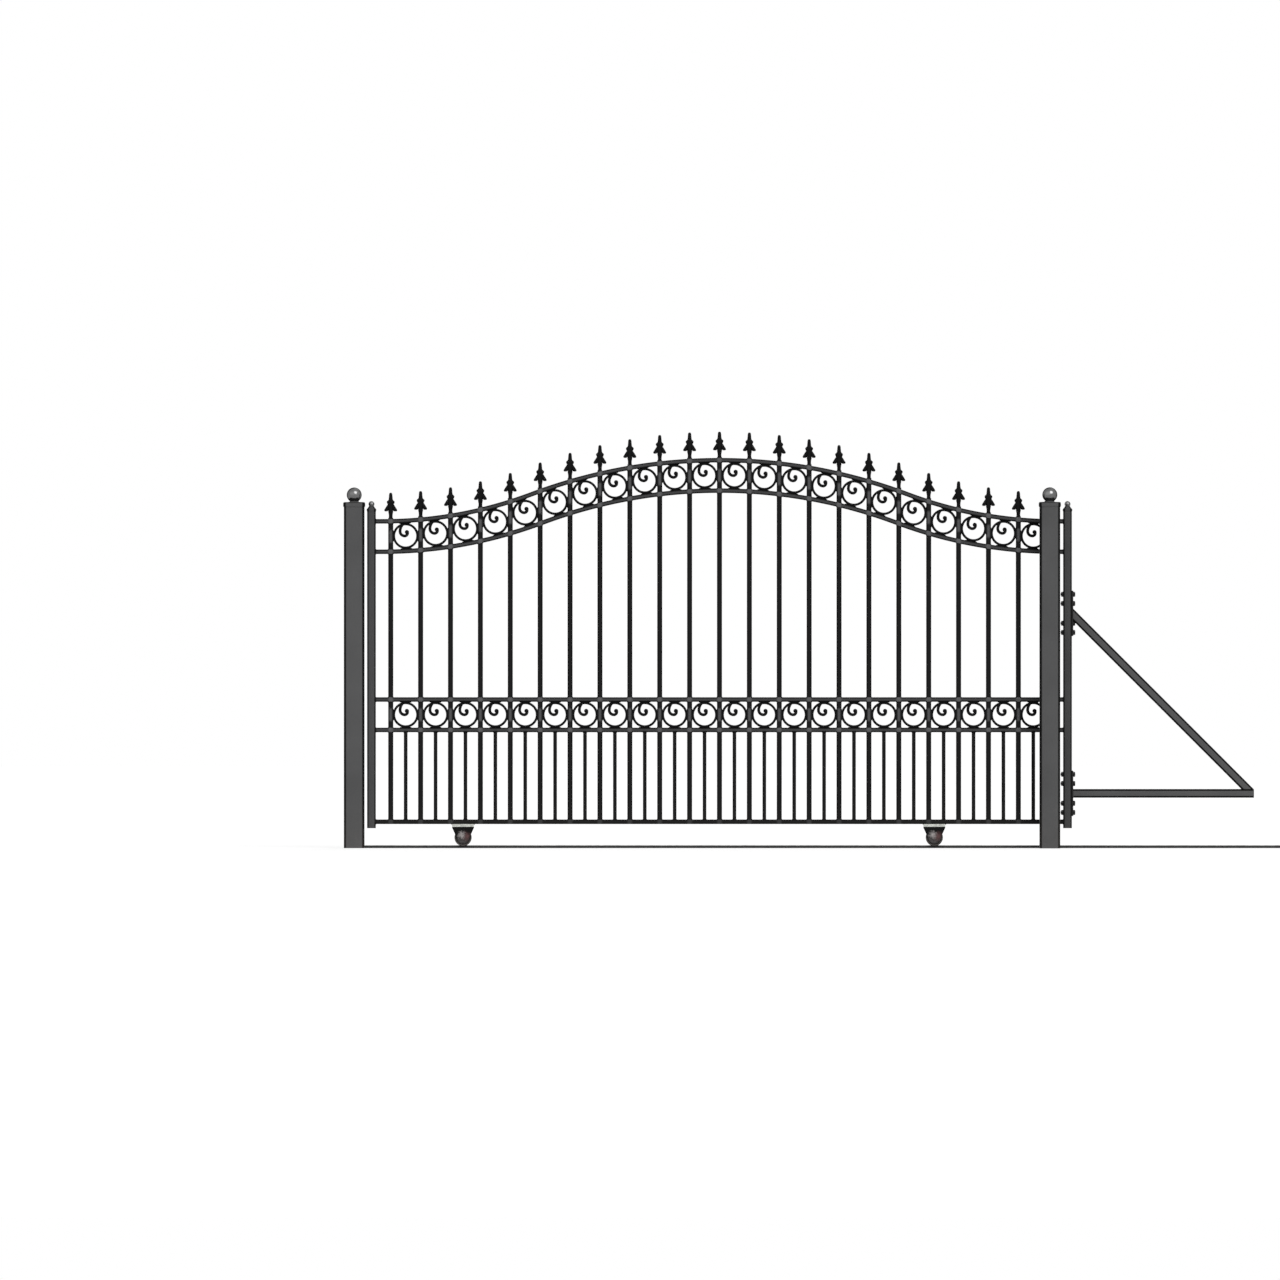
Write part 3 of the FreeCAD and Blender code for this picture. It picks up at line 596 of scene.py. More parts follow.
def smooth(mesh, angle):
    """Smooth shading that keeps real edges."""
    mesh.shade_smooth()
    mesh.set_sharp_from_angle(angle=math.radians(angle))
    return mesh


def grow(name, tree, finish, points, values, edges=(), angle=BAR_EDGE, **attributes):
    """Runs a tree on points and returns the result as a plain mesh.

    An attribute is a list with a number or a vector for each point, or one vector for all.
    """
    mesh = wire(name, points, edges)
    for label, numbers in attributes.items():
        if isinstance(numbers, tuple):
            numbers = [numbers] * len(points)
        whole = isinstance(numbers[0], tuple)
        layer = mesh.attributes.new(label, "FLOAT_VECTOR" if whole else "FLOAT", "POINT")
        flat = [part for number in numbers for part in number] if whole else numbers
        layer.data.foreach_set("vector" if whole else "value", flat)
    seed = linked(name + "_seed", mesh)
    modifier = seed.modifiers.new(tree.name, "NODES")
    modifier.node_group = tree
    values = {**values, "Finish": FINISHES[finish]}
    for item in tree.interface.items_tree:
        if item.in_out == "INPUT" and item.name in values:
            modifier[item.identifier] = values[item.name]
    graph = bpy.context.evaluated_depsgraph_get()
    result = bpy.data.meshes.new_from_object(seed.evaluated_get(graph))
    bpy.data.objects.remove(seed)
    bpy.data.meshes.remove(mesh)
    result.name = name
    return smooth(result, angle)


def dress(mesh, body, slot, *replaced):
    """Sets a finished mesh on its body as a piece of its own name, in place of CAD nodes."""
    piece = linked(mesh.name, mesh)
    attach(piece, body)
    if replaced:
        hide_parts(*replaced)


def paint_nodes(finish, *names):
    """Gives CAD nodes a finish."""
    for name in names:
        NODES[name].data.materials.clear()
        NODES[name].data.materials.append(FINISHES[finish])


def loop(z, width, corner):
    """A level rounded square, or a circle where its corners meet."""
    half = width / 2 - corner
    steps = LOOP_POINTS // 4
    points = []
    for quarter, (right, back) in enumerate(((1, 1), (-1, 1), (-1, -1), (1, -1))):
        for step in range(steps):
            turn = QUARTER * (quarter + step / (steps - 1))
            x = right * half + corner * math.cos(turn)
            points.append(Vector((x, back * half + corner * math.sin(turn), z)))
    return points


def circle(z, radius):
    """A level circle, with as many points as a loop."""
    return loop(z, 2 * radius, radius)


def skin(builder, loops, placing=Matrix(), closed=False, shaded_rims=(), second=None):
    """Adds faces through loops of points, with flat ends or joined end to end.

    Points keep their place in the section, and whether they lie on a rim row that carries painted
    shade. Faces from the loop numbered second take the second finish.
    """
    layers = builder.verts.layers.float_vector
    section = layers.get("section") or layers.new("section")
    rows = []
    for number, points in enumerate(loops):
        half = max(abs(point.x) for point in points)
        # A shaded rim row carries painted shade in the third number of its section
        painted_shade = RIM_PAINTED_SHADE if number in shaded_rims else 0.0
        row = []
        for point in points:
            made = builder.verts.new(placing @ point)
            made[section] = Vector((point.x / half, point.y / half, painted_shade))
            row.append(made)
        rows.append(row)
    pairs = list(zip(rows, rows[1:]))
    faces = []
    if closed:
        pairs.append((rows[-1], rows[0]))
    else:
        faces = [(builder.faces.new(rows[0][::-1]), 0), (builder.faces.new(rows[-1]), len(rows))]
    for number, (lower, upper) in enumerate(pairs):
        for index in range(len(lower)):
            corners = (lower[index - 1], lower[index], upper[index], upper[index - 1])
            faces.append((builder.faces.new(corners), number))
    for face, number in faces:
        face.material_index = int(second is not None and number >= second)


def finished(builder, name, *finishes, angle=BAR_EDGE):
    """A closed mesh with its faces outwards."""
    bmesh.ops.remove_doubles(builder, verts=builder.verts, dist=MERGED)
    bmesh.ops.dissolve_degenerate(builder, edges=builder.edges, dist=SLIVER)
    bmesh.ops.recalc_face_normals(builder, faces=builder.faces)
    mesh = bpy.data.meshes.new(name)
    builder.to_mesh(mesh)
    builder.free()
    for finish in finishes:
        mesh.materials.append(FINISHES[finish])
    return smooth(mesh, angle)


class Finish(Web):
    """A material under one shader, with noises and ramps to make its looks from."""

    def __init__(self, name, roughness=0.5, metallic=0.0, specular=0.5, rim=1.0):
        self.material = bpy.data.materials.new(name)
        self.material.use_nodes = True
        super().__init__(self.material.node_tree)
        self.place = self.add("ShaderNodeTexCoord", output="Object")
        self.look("Roughness", roughness)
        self.look("Metallic", metallic)
        self.look("Specular IOR Level", specular)
        self.look("Specular Tint", (rim, rim, rim, 1.0))

    def look(self, label, value):
        """Sets an input of the shader."""
        self.feed(self.tree.nodes["Principled BSDF"].inputs[label], value)

    def noise(self, scale, detail=2.0):
        """Even noise over a piece."""
        inputs = {"Vector": self.place, "Scale": scale, "Detail": detail}
        return self.add("ShaderNodeTexNoise", inputs, "Fac")

    def ramp(self, value, low, high, start, stop):
        """A value from one range, clamped into another."""
        inputs = {"Value": value, "From Min": low, "From Max": high, "To Min": start, "To Max": stop}
        return self.add("ShaderNodeMapRange", inputs)

    def fade(self, share, start, stop):
        """From start to stop as a share goes from zero to one."""
        return self.ramp(share, 0.0, 1.0, start, stop)

    def drift(self, scale, detail, start, stop, low=0.3, high=0.7):
        """Noise, from start to stop where it goes from low to high."""
        return self.ramp(self.noise(scale, detail), low, high, start, stop)

    def blend(self, share, first, second, mode="MIX"):
        """Two colours mixed by a share."""
        inputs = {0: share, 6: first, 7: second}
        return self.add("ShaderNodeMix", inputs, 2, data_type="RGBA", blend_type=mode)

    def tint(self, shade, tone):
        """A colour made paler or darker by a tone."""
        return self.blend(1.0, (*shade, 1.0), tone, "MULTIPLY")

    def bump(self, height, distance, strength):
        """Relief on the surface."""
        inputs = {"Height": height, "Distance": distance, "Strength": strength}
        self.look("Normal", self.add("ShaderNodeBump", inputs, "Normal"))

    def off_axle(self, axle):
        """Distance from a line along y."""
        flat = self.vector_maths("SUBTRACT", self.place, axle)
        flat = self.vector_maths("MULTIPLY", flat, (1.0, 0.0, 1.0))
        return self.vector_maths("LENGTH", flat, output="Value")

    def painted_corner_shade(self, start, stop):
        """Painted shade: one along a bar's corners and on a cap's shaded rim rows, zero on its flats.
        """
        section = self.add("ShaderNodeAttribute", None, "Vector", attribute_name="section")
        x, y, rim = (self.part(self.vector_maths("ABSOLUTE", section), axis) for axis in "XYZ")
        corner = self.ramp(self.maths("MINIMUM", x, y), start, stop, 0.0, 1.0)
        return self.maths("MAXIMUM", corner, rim)

    def between_pickets(self):
        """Zero where a rail crosses a picket, one between pickets."""
        half = PICKET_PITCH / 2
        from_end = self.maths("SUBTRACT", self.part(self.place, "X"), INNER_LEFT)
        far, near = PICKET_REACH
        return self.ramp(self.maths("PINGPONG", from_end, half), half - far, half - near, 1.0, 0.0)

    def off_rings(self):
        """Zero on a picket beside its rings, one elsewhere."""
        band = self.add("ShaderNodeAttribute", None, "Fac", attribute_name="band")
        offsets = [self.maths("SUBTRACT", self.part(self.place, "Z"), z) for z in (band, RING_Z)]
        nearest = self.maths("MINIMUM", *(self.maths("ABSOLUTE", offset) for offset in offsets))
        return self.ramp(nearest, *RING_REACH, 0.0, 1.0)


def shaded_powder_coat(name, shade, line, specular=0.03, dust=0.0, knots=0.0, rings=0.0):
    """Baked paint: a slow drift of tone, painted shade along the corners and on shaded rim rows, a fine
    orange peel, and dust towards the ground.

    The line says where in the section the painted corner shade begins, where it is full, and what is
    left of the tone there. Knots is how much paler the paint is where a rail crosses its pickets, where
    the painted shade stops, and rings where a picket stands between rings.
    """
    finish = Finish(name, specular=specular)
    start, stop, left = line
    tone = finish.drift(5.0, 3.0, 0.92, 1.08)
    # Painted shade along the corners of bars and on the shaded rim rows of caps
    painted_shade = finish.painted_corner_shade(start, stop)
    if knots:
        between = finish.between_pickets()
        painted_shade = finish.times(painted_shade, between)
        tone = finish.times(tone, finish.fade(between, knots, 1.0))
    if rings:
        tone = finish.times(tone, finish.fade(finish.off_rings(), rings, 1.0))
    base = finish.tint(shade, finish.times(tone, finish.fade(painted_shade, 1.0, left)))
    if dust:
        near = finish.ramp(finish.part(finish.place, "Z"), 0.0, DUST_HEIGHT, dust, 0.0)
        base = finish.blend(finish.times(near, finish.noise(30.0, 4.0)), base, DUST)
    finish.look("Base Color", base)
    finish.look("Roughness", finish.drift(24.0, 2.0, 0.44, 0.58))
    finish.bump(finish.noise(700.0), 0.0004, 0.12)
    return finish.material


def mottled(name, shade, drift, relief, **surface):
    """A finish whose tone drifts a little, over a grain."""
    finish = Finish(name, **surface)
    scale, detail, distance, strength = relief
    finish.look("Base Color", finish.tint(shade, finish.drift(*drift)))
    finish.bump(finish.noise(scale, detail), distance, strength)
    return finish.material


def casting_with_painted_light(name, shade, patches):
    """Dull paint with ragged patches round the axles: a grey painted as light, a rust stain, and a pale
    painted highlight.

    A patch is its place off the axle, its reach and its colour.
    """
    finish = Finish(name, specular=0.06)
    ragged = finish.drift(190.0, 5.0, -0.005, 0.007)
    base = (*shade, 1.0)
    for shift, reach, tone in patches:
        spots = (finish.off_axle(axle + Vector(shift)) for axle in AXLES.values())
        near = finish.maths("ADD", finish.maths("MINIMUM", *spots), ragged)
        share = finish.ramp(near, 0.0, reach, 1.0, 0.0)
        base = finish.blend(share, base, (*tone, 1.0))
    finish.look("Base Color", base)
    # Smoother where the painted highlight lies
    finish.look("Roughness", finish.fade(share, 0.55, 0.4))
    finish.bump(finish.noise(380.0, 4.0), 0.0005, 0.3)
    return finish.material


def zinc_coat(name, shade):
    """Hot-dipped zinc with its flowers of crystals."""
    finish = Finish(name, metallic=0.75)
    flowers = finish.add("ShaderNodeTexVoronoi", {"Vector": finish.place, "Scale": 130.0}, "Color")
    grey = finish.add("ShaderNodeSeparateColor", {"Color": flowers}, "Red")
    finish.look("Base Color", finish.tint(shade, finish.fade(grey, 0.82, 1.12)))
    finish.look("Roughness", finish.fade(grey, 0.34, 0.55))
    finish.bump(finish.noise(260.0, 3.0), 0.0003, 0.2)
    return finish.material


def turned_steel(name, shade, axle):
    """Dark steel with turning marks round its axle."""
    finish = Finish(name, roughness=0.42, metallic=0.85)
    inputs = {"W": finish.times(finish.off_axle(axle), 2400.0), "Scale": 1.0}
    marks = finish.add("ShaderNodeTexNoise", inputs, "Fac", noise_dimensions="1D")
    finish.look("Base Color", finish.tint(shade, finish.drift(60.0, 4.0, 0.6, 1.15, low=0.35)))
    finish.bump(marks, 0.0003, 0.25)
    return finish.material


def track_paint(name, shade, crest):
    """Grey paint that wheels have worn bright along the crest."""
    finish = Finish(name, specular=0.25)
    low, high = (size_of("track").z * share for share in TRACK_WORN)
    worn = finish.ramp(finish.part(finish.place, "Z"), low, high, 0.0, 1.0)
    share = finish.times(worn, finish.drift(45.0, 4.0, 0.25, 1.0, low=0.35, high=0.6))
    finish.look("Base Color", finish.blend(share, (*shade, 1.0), (*crest, 1.0)))
    finish.look("Metallic", finish.fade(share, 0.0, 0.8))
    finish.bump(finish.noise(500.0), 0.0003, 0.15)
    return finish.material


class GATE_OT_finishes(bpy.types.Operator):
    """Mix the paints and metals, and paint the CAD nodes that stay in view"""

    bl_idname = "gate.finishes"
    bl_label = "Finishes"

    def execute(self, context):
        paint = context.scene.gate_paint
        shiny = {"specular": 0.06}
        # In each row the line sets the painted shade along the corners: where it begins, where it is
        # full, and what is left of the tone there
        for name, shade, line, more in (
            ("post", paint.post, (0.74, 0.84, 0.04), {"dust": 0.1}),
            ("post_cap", paint.post, (0.70, 0.80, 0.06), {}),
            ("stile_cap", paint.frame, (0.45, 0.62, 0.08), {}),
            ("stile", paint.frame, (0.58, 0.74, 0.18), {"dust": 0.08}),
            ("tail", paint.post, (0.50, 0.68, 0.04), {}),
            ("rail", paint.rails, (0.3, 0.6, 0.08), {**shiny, "knots": 2.0}),
            ("bottom_rail", paint.bars, (0.3, 0.6, 0.2), {**shiny, "dust": 0.05, "knots": 4.0}),
            ("bar", paint.bars, (0.35, 0.62, 0.2), {**shiny, "dust": 0.05, "rings": 9.0}),
        ):
            FINISHES[name] = shaded_powder_coat(name + "_powder_coat", shade, line, **more)
        # Patches on the roller brackets: a grey painted as light below and left of each axle, rust to
        # its right, and a pale painted highlight above and left of it
        patches = (
            ((-0.004, 0.0, -0.008), 0.034, paint.painted_lit_grey),
            ((0.016, 0.0, 0.005), 0.027, paint.rust),
            ((-0.007, 0.0, 0.012), 0.021, paint.painted_highlight),
        )
        FINISHES["ball"] = mottled(
            "ball_metal", paint.ball, *BALL_GRAIN, roughness=0.25, metallic=1.0, rim=0.02
        )
        FINISHES["castings"] = mottled("casting_black", paint.castings, *CAST_GRAIN, specular=0.06)
        FINISHES["bracket"] = casting_with_painted_light("bracket_rubbed_black", paint.castings, patches)
        FINISHES["zinc"] = zinc_coat("galvanised_zinc", paint.zinc)
        FINISHES["bolt"] = mottled(
            "bolt_black", paint.castings, *CAST_GRAIN, roughness=0.4, specular=0.2
        )
        FINISHES["nylon"] = mottled(
            "black_nylon", paint.nylon, *NYLON_GRAIN, roughness=0.4, specular=0.4
        )
        FINISHES["track"] = track_paint("track_worn_paint", paint.track, paint.crest)
        for side, axle in AXLES.items():
            FINISHES[side + "_wheel"] = turned_steel(side + "_wheel_steel", paint.wheel, axle)
        paint_nodes("post", "guide_upright")
        paint_nodes("nylon", "guide_upright_cap", "tail_end_cap")
        paint_nodes("track", "track")
        paint_nodes("bracket", "roller_brackets", "guide_brackets", "roller_axles")
        paint_nodes("zinc", "roller_mount_plates", "guide_pins")
        paint_nodes("bolt", "tail_lower_plate", "tail_upper_plate")
        return {"FINISHED"}


def stand_tubes(piece, names, corner, finish, body, slot):
    """Stands tubes in place of CAD nodes, and returns their feet and the height of their tops."""
    feet = [(middle_of(name).x, middle_of(name).y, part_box(name)[0].z) for name in names]
    heights = [size_of(name).z for name in names]
    values = {"Width": size_of(names[0]).x, "Corner": corner}
    mesh = grow(piece, upright_bars_tree(), finish, feet, values, height=heights)
    dress(mesh, body, slot, *names)
    return feet, feet[0][2] + heights[0]


def cap_loops(caps, feet, top, width, corner, foot, crown):
    """Rounded squares up a cap: its mouth, and the rows of its foot and its crown."""
    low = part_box(caps)[0].z - top
    rim = size_of(caps).y - abs(feet[0][1] - feet[1][1])
    loops = [loop(low, width + CAP_SLIP, corner)]
    for base, rows in ((low, foot), (0.0, crown)):
        loops += [loop(base + rise, rim - less, corner + rounder) for rise, less, rounder in rows]
    return loops


def ball_loops(caps, top, diameter, neck):
    """Circles of the ball on a cap, from its neck up."""
    radius = diameter / 2
    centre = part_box(caps)[1].z - top - radius
    start = math.asin(neck / diameter)
    loops = []
    for step in range(BALL_STEPS + 1):
        turn = start + (math.pi - BALL_GAP - start) * step / BALL_STEPS
        loops.append(circle(centre - radius * math.cos(turn), radius * math.sin(turn)))
    return loops


def set_caps(piece, feet, top, cap, ball, finish, shaded_rims=()):
    """A mesh of a cap with its ball on each tube."""
    builder = bmesh.new()
    for x, y, _ in feet:
        skin(builder, cap + ball, Matrix.Translation((x, y, top)), shaded_rims=shaded_rims, second=len(cap))
    return finished(builder, piece, finish, "ball", angle=CAP_EDGE)


class GATE_OT_posts(bpy.types.Operator):
    """Make the posts with rounded corners, and their moulded caps with balls"""

    bl_idname = "gate.posts"
    bl_label = "Posts"

    def execute(self, context):
        corner = context.scene.gate_bars.post_corner
        castings = context.scene.gate_castings
        neck = castings.ball_neck
        names = ("left_post", "right_post")
        feet, top = stand_tubes("post_tubes", names, corner, "post", "fixed_frame", "post_paint")
        width = size_of("left_post").x
        cap = cap_loops("post_caps", feet, top, width, corner, POST_CAP_FOOT, POST_CAP_CROWN)
        cap += [circle(rise, neck / 2 + wider) for rise, wider in POST_CAP_COLLAR]
        ball = ball_loops("post_caps", top, castings.ball, neck)
        mesh = set_caps("post_ball_caps", feet, top, cap, ball, "post_cap", POST_CAP_SHADED_RIMS)
        dress(mesh, "fixed_frame", "post_paint", "post_caps")
        return {"FINISHED"}


class GATE_OT_stiles(bpy.types.Operator):
    """Make the two stiles and their small ball caps"""

    bl_idname = "gate.stiles"
    bl_label = "Stiles"

    def execute(self, context):
        corner = context.scene.gate_bars.stile_corner
        diameter = context.scene.gate_castings.stile_ball
        neck = diameter * STILE_NECK_SHARE
        names = ("leading_stile", "trailing_stile")
        feet, top = stand_tubes("stile_tubes", names, corner, "stile", "leaf", "frame_paint")
        ball = ball_loops("stile_caps", top, diameter, neck)
        width = size_of("leading_stile").x
        cap = cap_loops("stile_caps", feet, top, width, corner, STILE_CAP_FOOT, STILE_CAP_CROWN)
        cap.append(loop(*STILE_CAP_SHOULDER))
        cap.append(circle(ball[0][0].z - STILE_BALL_SEAT, neck / 2 + STILE_BALL_SEAT))
        mesh = set_caps("stile_ball_caps", feet, top, cap, ball, "stile_cap")
        dress(mesh, "leaf", "frame_paint", "stile_caps")
        return {"FINISHED"}


class GATE_OT_rails(bpy.types.Operator):
    """Sweep the three level rails and the two bell-curved rails"""

    bl_idname = "gate.rails"
    bl_label = "Rails"

    def execute(self, context):
        bars = context.scene.gate_bars
        values = {"Height": RAIL_HEIGHT, "Depth": RAIL_DEPTH, "Corner": bars.rail_corner}
        lines = {}
        for name in LEVEL_RAILS:
            lines[name] = [(end.x, 0, middle_of(name).z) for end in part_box(name)]
        steps = range(bars.bell_steps + 1)
        stops = [INNER_LEFT + RAIL_LENGTH * step / bars.bell_steps for step in steps]
        for name, offset in (("lower_top_rail", -BAND_SPACING), ("upper_top_rail", 0.0)):
            lines[name] = [(x, 0, bell_height(x, offset)) for x in stops]
        for piece, finish, names in (
            ("leaf_bottom_rail", "bottom_rail", tuple(lines)[:1]),
            ("leaf_rails", "rail", tuple(lines)[1:]),
        ):
            points, edges = [], []
            for name in names:
                edges += chain(len(points), len(lines[name]))
                points += lines[name]
            mesh = grow(piece, swept_rails_tree(), finish, points, values, edges)
            dress(mesh, "leaf", "picket_paint", *names)
        return {"FINISHED"}


class GATE_OT_pickets(bpy.types.Operator):
    """Stand the tall pickets, and the short thin ones between them"""

    bl_idname = "gate.pickets"
    bl_label = "Pickets"

    def execute(self, context):
        tree = upright_bars_tree()
        values = {"Width": PICKET_WIDTH, "Corner": context.scene.gate_bars.picket_corner}
        feet = [(x, 0, PICKET_FOOT) for x in PICKETS]
        heights = [picket_top(x) - PICKET_FOOT for x in PICKETS]
        bands = [band_height(x) for x in PICKETS]
        mesh = grow("tall_pickets", tree, "bar", feet, values, height=heights, band=bands)
        dress(mesh, "leaf", "picket_paint", "pickets")
        values["Width"] = DOG_WIDTH
        feet = [(x, 0, PICKET_FOOT) for x in BAYS]
        heights = [size_of("dog_pickets").z] * len(BAYS)
        mesh = grow("short_pickets", tree, "bar", feet, values, height=heights)
        dress(mesh, "leaf", "picket_paint", "dog_pickets")
        return {"FINISHED"}


class GATE_OT_rings(bpy.types.Operator):
    """Set a scroll ring in every bay of both bands"""

    bl_idname = "gate.rings"
    bl_label = "Scroll Rings"

    def execute(self, context):
        castings = context.scene.gate_castings
        points = [(x, 0, RING_Z) for x in BAYS] + [(x, 0, band_height(x)) for x in BAYS]
        stops = scroll_line()
        line = linked("scroll_line", wire("scroll_line", stops, chain(0, len(stops))))
        values = {
            "Line": line,
            "Radius": (RING_DIAMETER - castings.ring_bar) / 2 + castings.ring_bite,
            "Bar": castings.ring_bar,
            "Scroll": castings.scroll_bar,
            "Depth": RING_DEPTH,
            "Edge": castings.ring_edge,
            "Knob": castings.knob,
        }
        tree = scroll_rings_tree()
        mesh = grow("scroll_rings", tree, "castings", points, values, angle=CASTING_EDGE)
        bpy.data.objects.remove(line)
        dress(mesh, "leaf", "ironwork", "lower_rings", "upper_rings")
        return {"FINISHED"}


def oval(z, middle, width, depth, step):
    """A level oval whose middle lies off the axis."""
    return [Vector((middle + point.x * width, point.y * depth, z)) for point in circle(0, 0.5)[::step]]


def spear_casting(span):
    """One spear: a round spindle with a swelling and a knuckle, and two drooping leaves."""
    builder = bmesh.new()
    rows = SPINDLE + tuple((SPEAR_HEIGHT - drop, *size) for drop, *size in SPINDLE_TIP)
    skin(builder, [oval(z, 0, width, depth, SPINDLE_STEP) for z, width, depth in rows])
    for spread in (-span / LEAF_SPAN, span / LEAF_SPAN):
        skin(builder, [oval(z, spread * off, *size, LEAF_STEP) for z, off, *size in SPEAR_LEAF])
    return finished(builder, "spear", "castings", angle=CASTING_EDGE)


class GATE_OT_spears(bpy.types.Operator):
    """Stand a cast spear point on every picket"""

    bl_idname = "gate.spears"
    bl_label = "Spear Points"

    def execute(self, context):
        mesh = spear_casting(context.scene.gate_castings.barb_span)
        casting = linked("spear_casting", mesh)
        points = [(x, 0, picket_top(x)) for x in PICKETS]
        values = {"Casting": casting}
        mesh = grow("spear_points", castings_tree(), "castings", points, values, angle=CASTING_EDGE)
        bpy.data.objects.remove(casting)
        dress(mesh, "leaf", "ironwork", "spears")
        return {"FINISHED"}


class GATE_OT_welds(bpy.types.Operator):
    """Run weld beads round the pickets and tack the rings"""

    bl_idname = "gate.welds"
    bl_label = "Welds"

    def execute(self, context):
        fixings = context.scene.gate_fixings
        points, facing = self.picket_joints()
        short = [(x, 0, end.z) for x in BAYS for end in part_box("dog_pickets")]
        rails = [middle_of(name).z for name in LEVEL_RAILS]
        rails += [SHOULDER_Z - BAND_SPACING, SHOULDER_Z]
        sides = [(x, 0, z) for x in (INNER_LEFT, INNER_LEFT + RAIL_LENGTH) for z in rails]
        plates = [(axle.x, 0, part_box("bottom_rail")[0].z) for axle in AXLES.values()]
        plate = PLATE_LENGTH + PLATE_BEAD_MARGIN
        tree = welds_tree()
        for piece, places, turns, width, depth, bead in (
            ("picket_weld_beads", points, facing, PICKET_WIDTH, PICKET_WIDTH, fixings.bead),
            ("short_picket_weld_beads", short, UPWARD, DOG_WIDTH, DOG_WIDTH, fixings.bead),
            ("rail_end_weld_beads", sides, RIGHTWARD, RAIL_HEIGHT, RAIL_DEPTH, fixings.bead),
            ("plate_weld_beads", plates, UPWARD, plate, RAIL_DEPTH, PLATE_BEAD),
        ):
            values = {"Width": width, "Depth": depth, "Bead": bead}
            mesh = grow(piece, tree, "bar", places, values, angle=WELD_EDGE, facing=turns)
            dress(mesh, "leaf", "picket_paint")
        points, facing = self.ring_joints()
        values = {"Radius": fixings.tack, "Length": fixings.tack_run}
        mesh = grow(
            "ring_tack_welds", tacks_tree(), "castings", points, values, angle=WELD_EDGE, facing=facing
        )
        dress(mesh, "leaf", "ironwork")
        return {"FINISHED"}

    def picket_joints(self):
        """Where tall pickets meet the rails, and how the beads there tilt."""
        half = RAIL_HEIGHT / 2
        levels = [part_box("bottom_rail")[1].z]
        levels += [face.z for name in LEVEL_RAILS[1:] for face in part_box(name)]
        points = [(x, 0, z) for x in PICKETS for z in levels]
        facing = [UPWARD] * len(points)
        for x in PICKETS:
            for offset in (-BAND_SPACING - half, -BAND_SPACING + half, -half):
                points.append((x, 0, bell_height(x, offset)))
                facing.append((0.0, -bell_slope(x, offset), 0.0))
        return points, facing

    def ring_joints(self):
        """Where rings meet pickets and rails, and how the tacks there tilt."""
        reach = RING_DIAMETER / 2
        clear = (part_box("upper_mid_rail")[0].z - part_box("lower_rings")[1].z) / 2
        points, facing = [], []
        for x in BAYS:
            for z, tilt in ((RING_Z, 0.0), (band_height(x), bell_slope(x, -BAND_SPACING / 2))):
                for side in (-1, 1):
                    points.append((x + side * reach, 0, z))
                    facing.append(UPWARD)
                    lift = side * (reach + clear)
                    points.append((x - lift * math.sin(tilt), 0, z + lift * math.cos(tilt)))
                    facing.append((0.0, QUARTER - tilt, 0.0))
        return points, facing


def bolt_on(piece, points, facing, size, finish, body, slot):
    """Sets bolts on points. A size is a head's width and height, a washer's width and an end."""
    values = dict(zip(("Head", "Height", "Washer", "End"), size))
    mesh = grow(piece, bolts_tree(), finish, points, values, angle=BOLT_EDGE, facing=facing)
    dress(mesh, body, slot)


def cut_bar(builder, start, stop, corner, cuts=()):
    """A tube of the tail frame from start to stop, trimmed by planes."""
    run = stop - start
    turn = run.to_track_quat("Z", "Y").to_matrix().to_4x4()
    ends = [loop(z, TAIL_WIDTH, corner) for z in (0, run.length)]
    bar = bmesh.new()
    skin(bar, ends, Matrix.Translation(start) @ turn)
    for place, outward in cuts:
        everything = bar.verts[:] + bar.edges[:] + bar.faces[:]
        bmesh.ops.bisect_plane(
            bar, geom=everything, plane_co=place, plane_no=outward, clear_outer=True
        )
        rim = [edge for edge in bar.edges if edge.is_boundary]
        bmesh.ops.contextual_create(bar, geom=rim)
    trimmed = bpy.data.meshes.new("trimmed")
    bar.to_mesh(trimmed)
    bar.free()
    builder.from_mesh(trimmed)
    bpy.data.meshes.remove(trimmed)


class GATE_OT_tail(bpy.types.Operator):
    """Make the tail frame's tubes, and bolt its plates through the stile"""

    bl_idname = "gate.tail"
    bl_label = "Tail Frame"

    def execute(self, context):
        corner = context.scene.gate_bars.tail_corner
        fixings = context.scene.gate_fixings
        low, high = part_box("tail_bottom_tube")
        z = middle_of("tail_bottom_tube").z
        builder = bmesh.new()
        cut_bar(builder, Vector((low.x, 0, z)), Vector((high.x, 0, z)), corner)
        inner, outer = (face.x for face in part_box("trailing_stile"))
        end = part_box("tail_end_cap")[1].x
        top = Vector((outer, 0, middle_of("tail_upper_plate").z))
        foot = Vector((outer + top.z - z, 0, z))
        spare = (foot - top).normalized() * 2 * TAIL_WIDTH
        cuts = (
            (Vector((low.x, 0, 0)), Vector((-1, 0, 0))),
            (Vector((0, 0, high.z)), Vector((0, 0, -1))),
            (Vector((end, 0, 0)), Vector((1, 0, 0))),
        )
        cut_bar(builder, top - spare, foot + spare, corner, cuts)
        mesh = finished(builder, "tail_frame_tubes", "tail")
        dress(mesh, "leaf", "frame_paint", "tail_bottom_tube", "tail_diagonal")
        plates = ("tail_lower_plate", "tail_upper_plate")
        levels = [middle_of(name).z + rise for name in plates for rise in TAIL_BOLT_RISES]
        for piece, x, facing, stub in (
            ("tail_bolt_heads", low.x, RIGHTWARD, TAIL_BOLT_END),
            ("tail_bolt_nuts", inner, LEFTWARD, TAIL_NUT_END),
        ):
            points = [(x, 0, level) for level in levels]
            size = (fixings.bolt_head, fixings.bolt_height, fixings.washer, stub)
            bolt_on(piece, points, facing, size, "bolt", "leaf", "picket_paint")
        return {"FINISHED"}


def turned_loops(side):
    """Circles through a profile of heights and radii and through its mirror image."""
    profile = side + [(-height, radius) for height, radius in reversed(side)]
    return [circle(height, radius) for height, radius in profile]


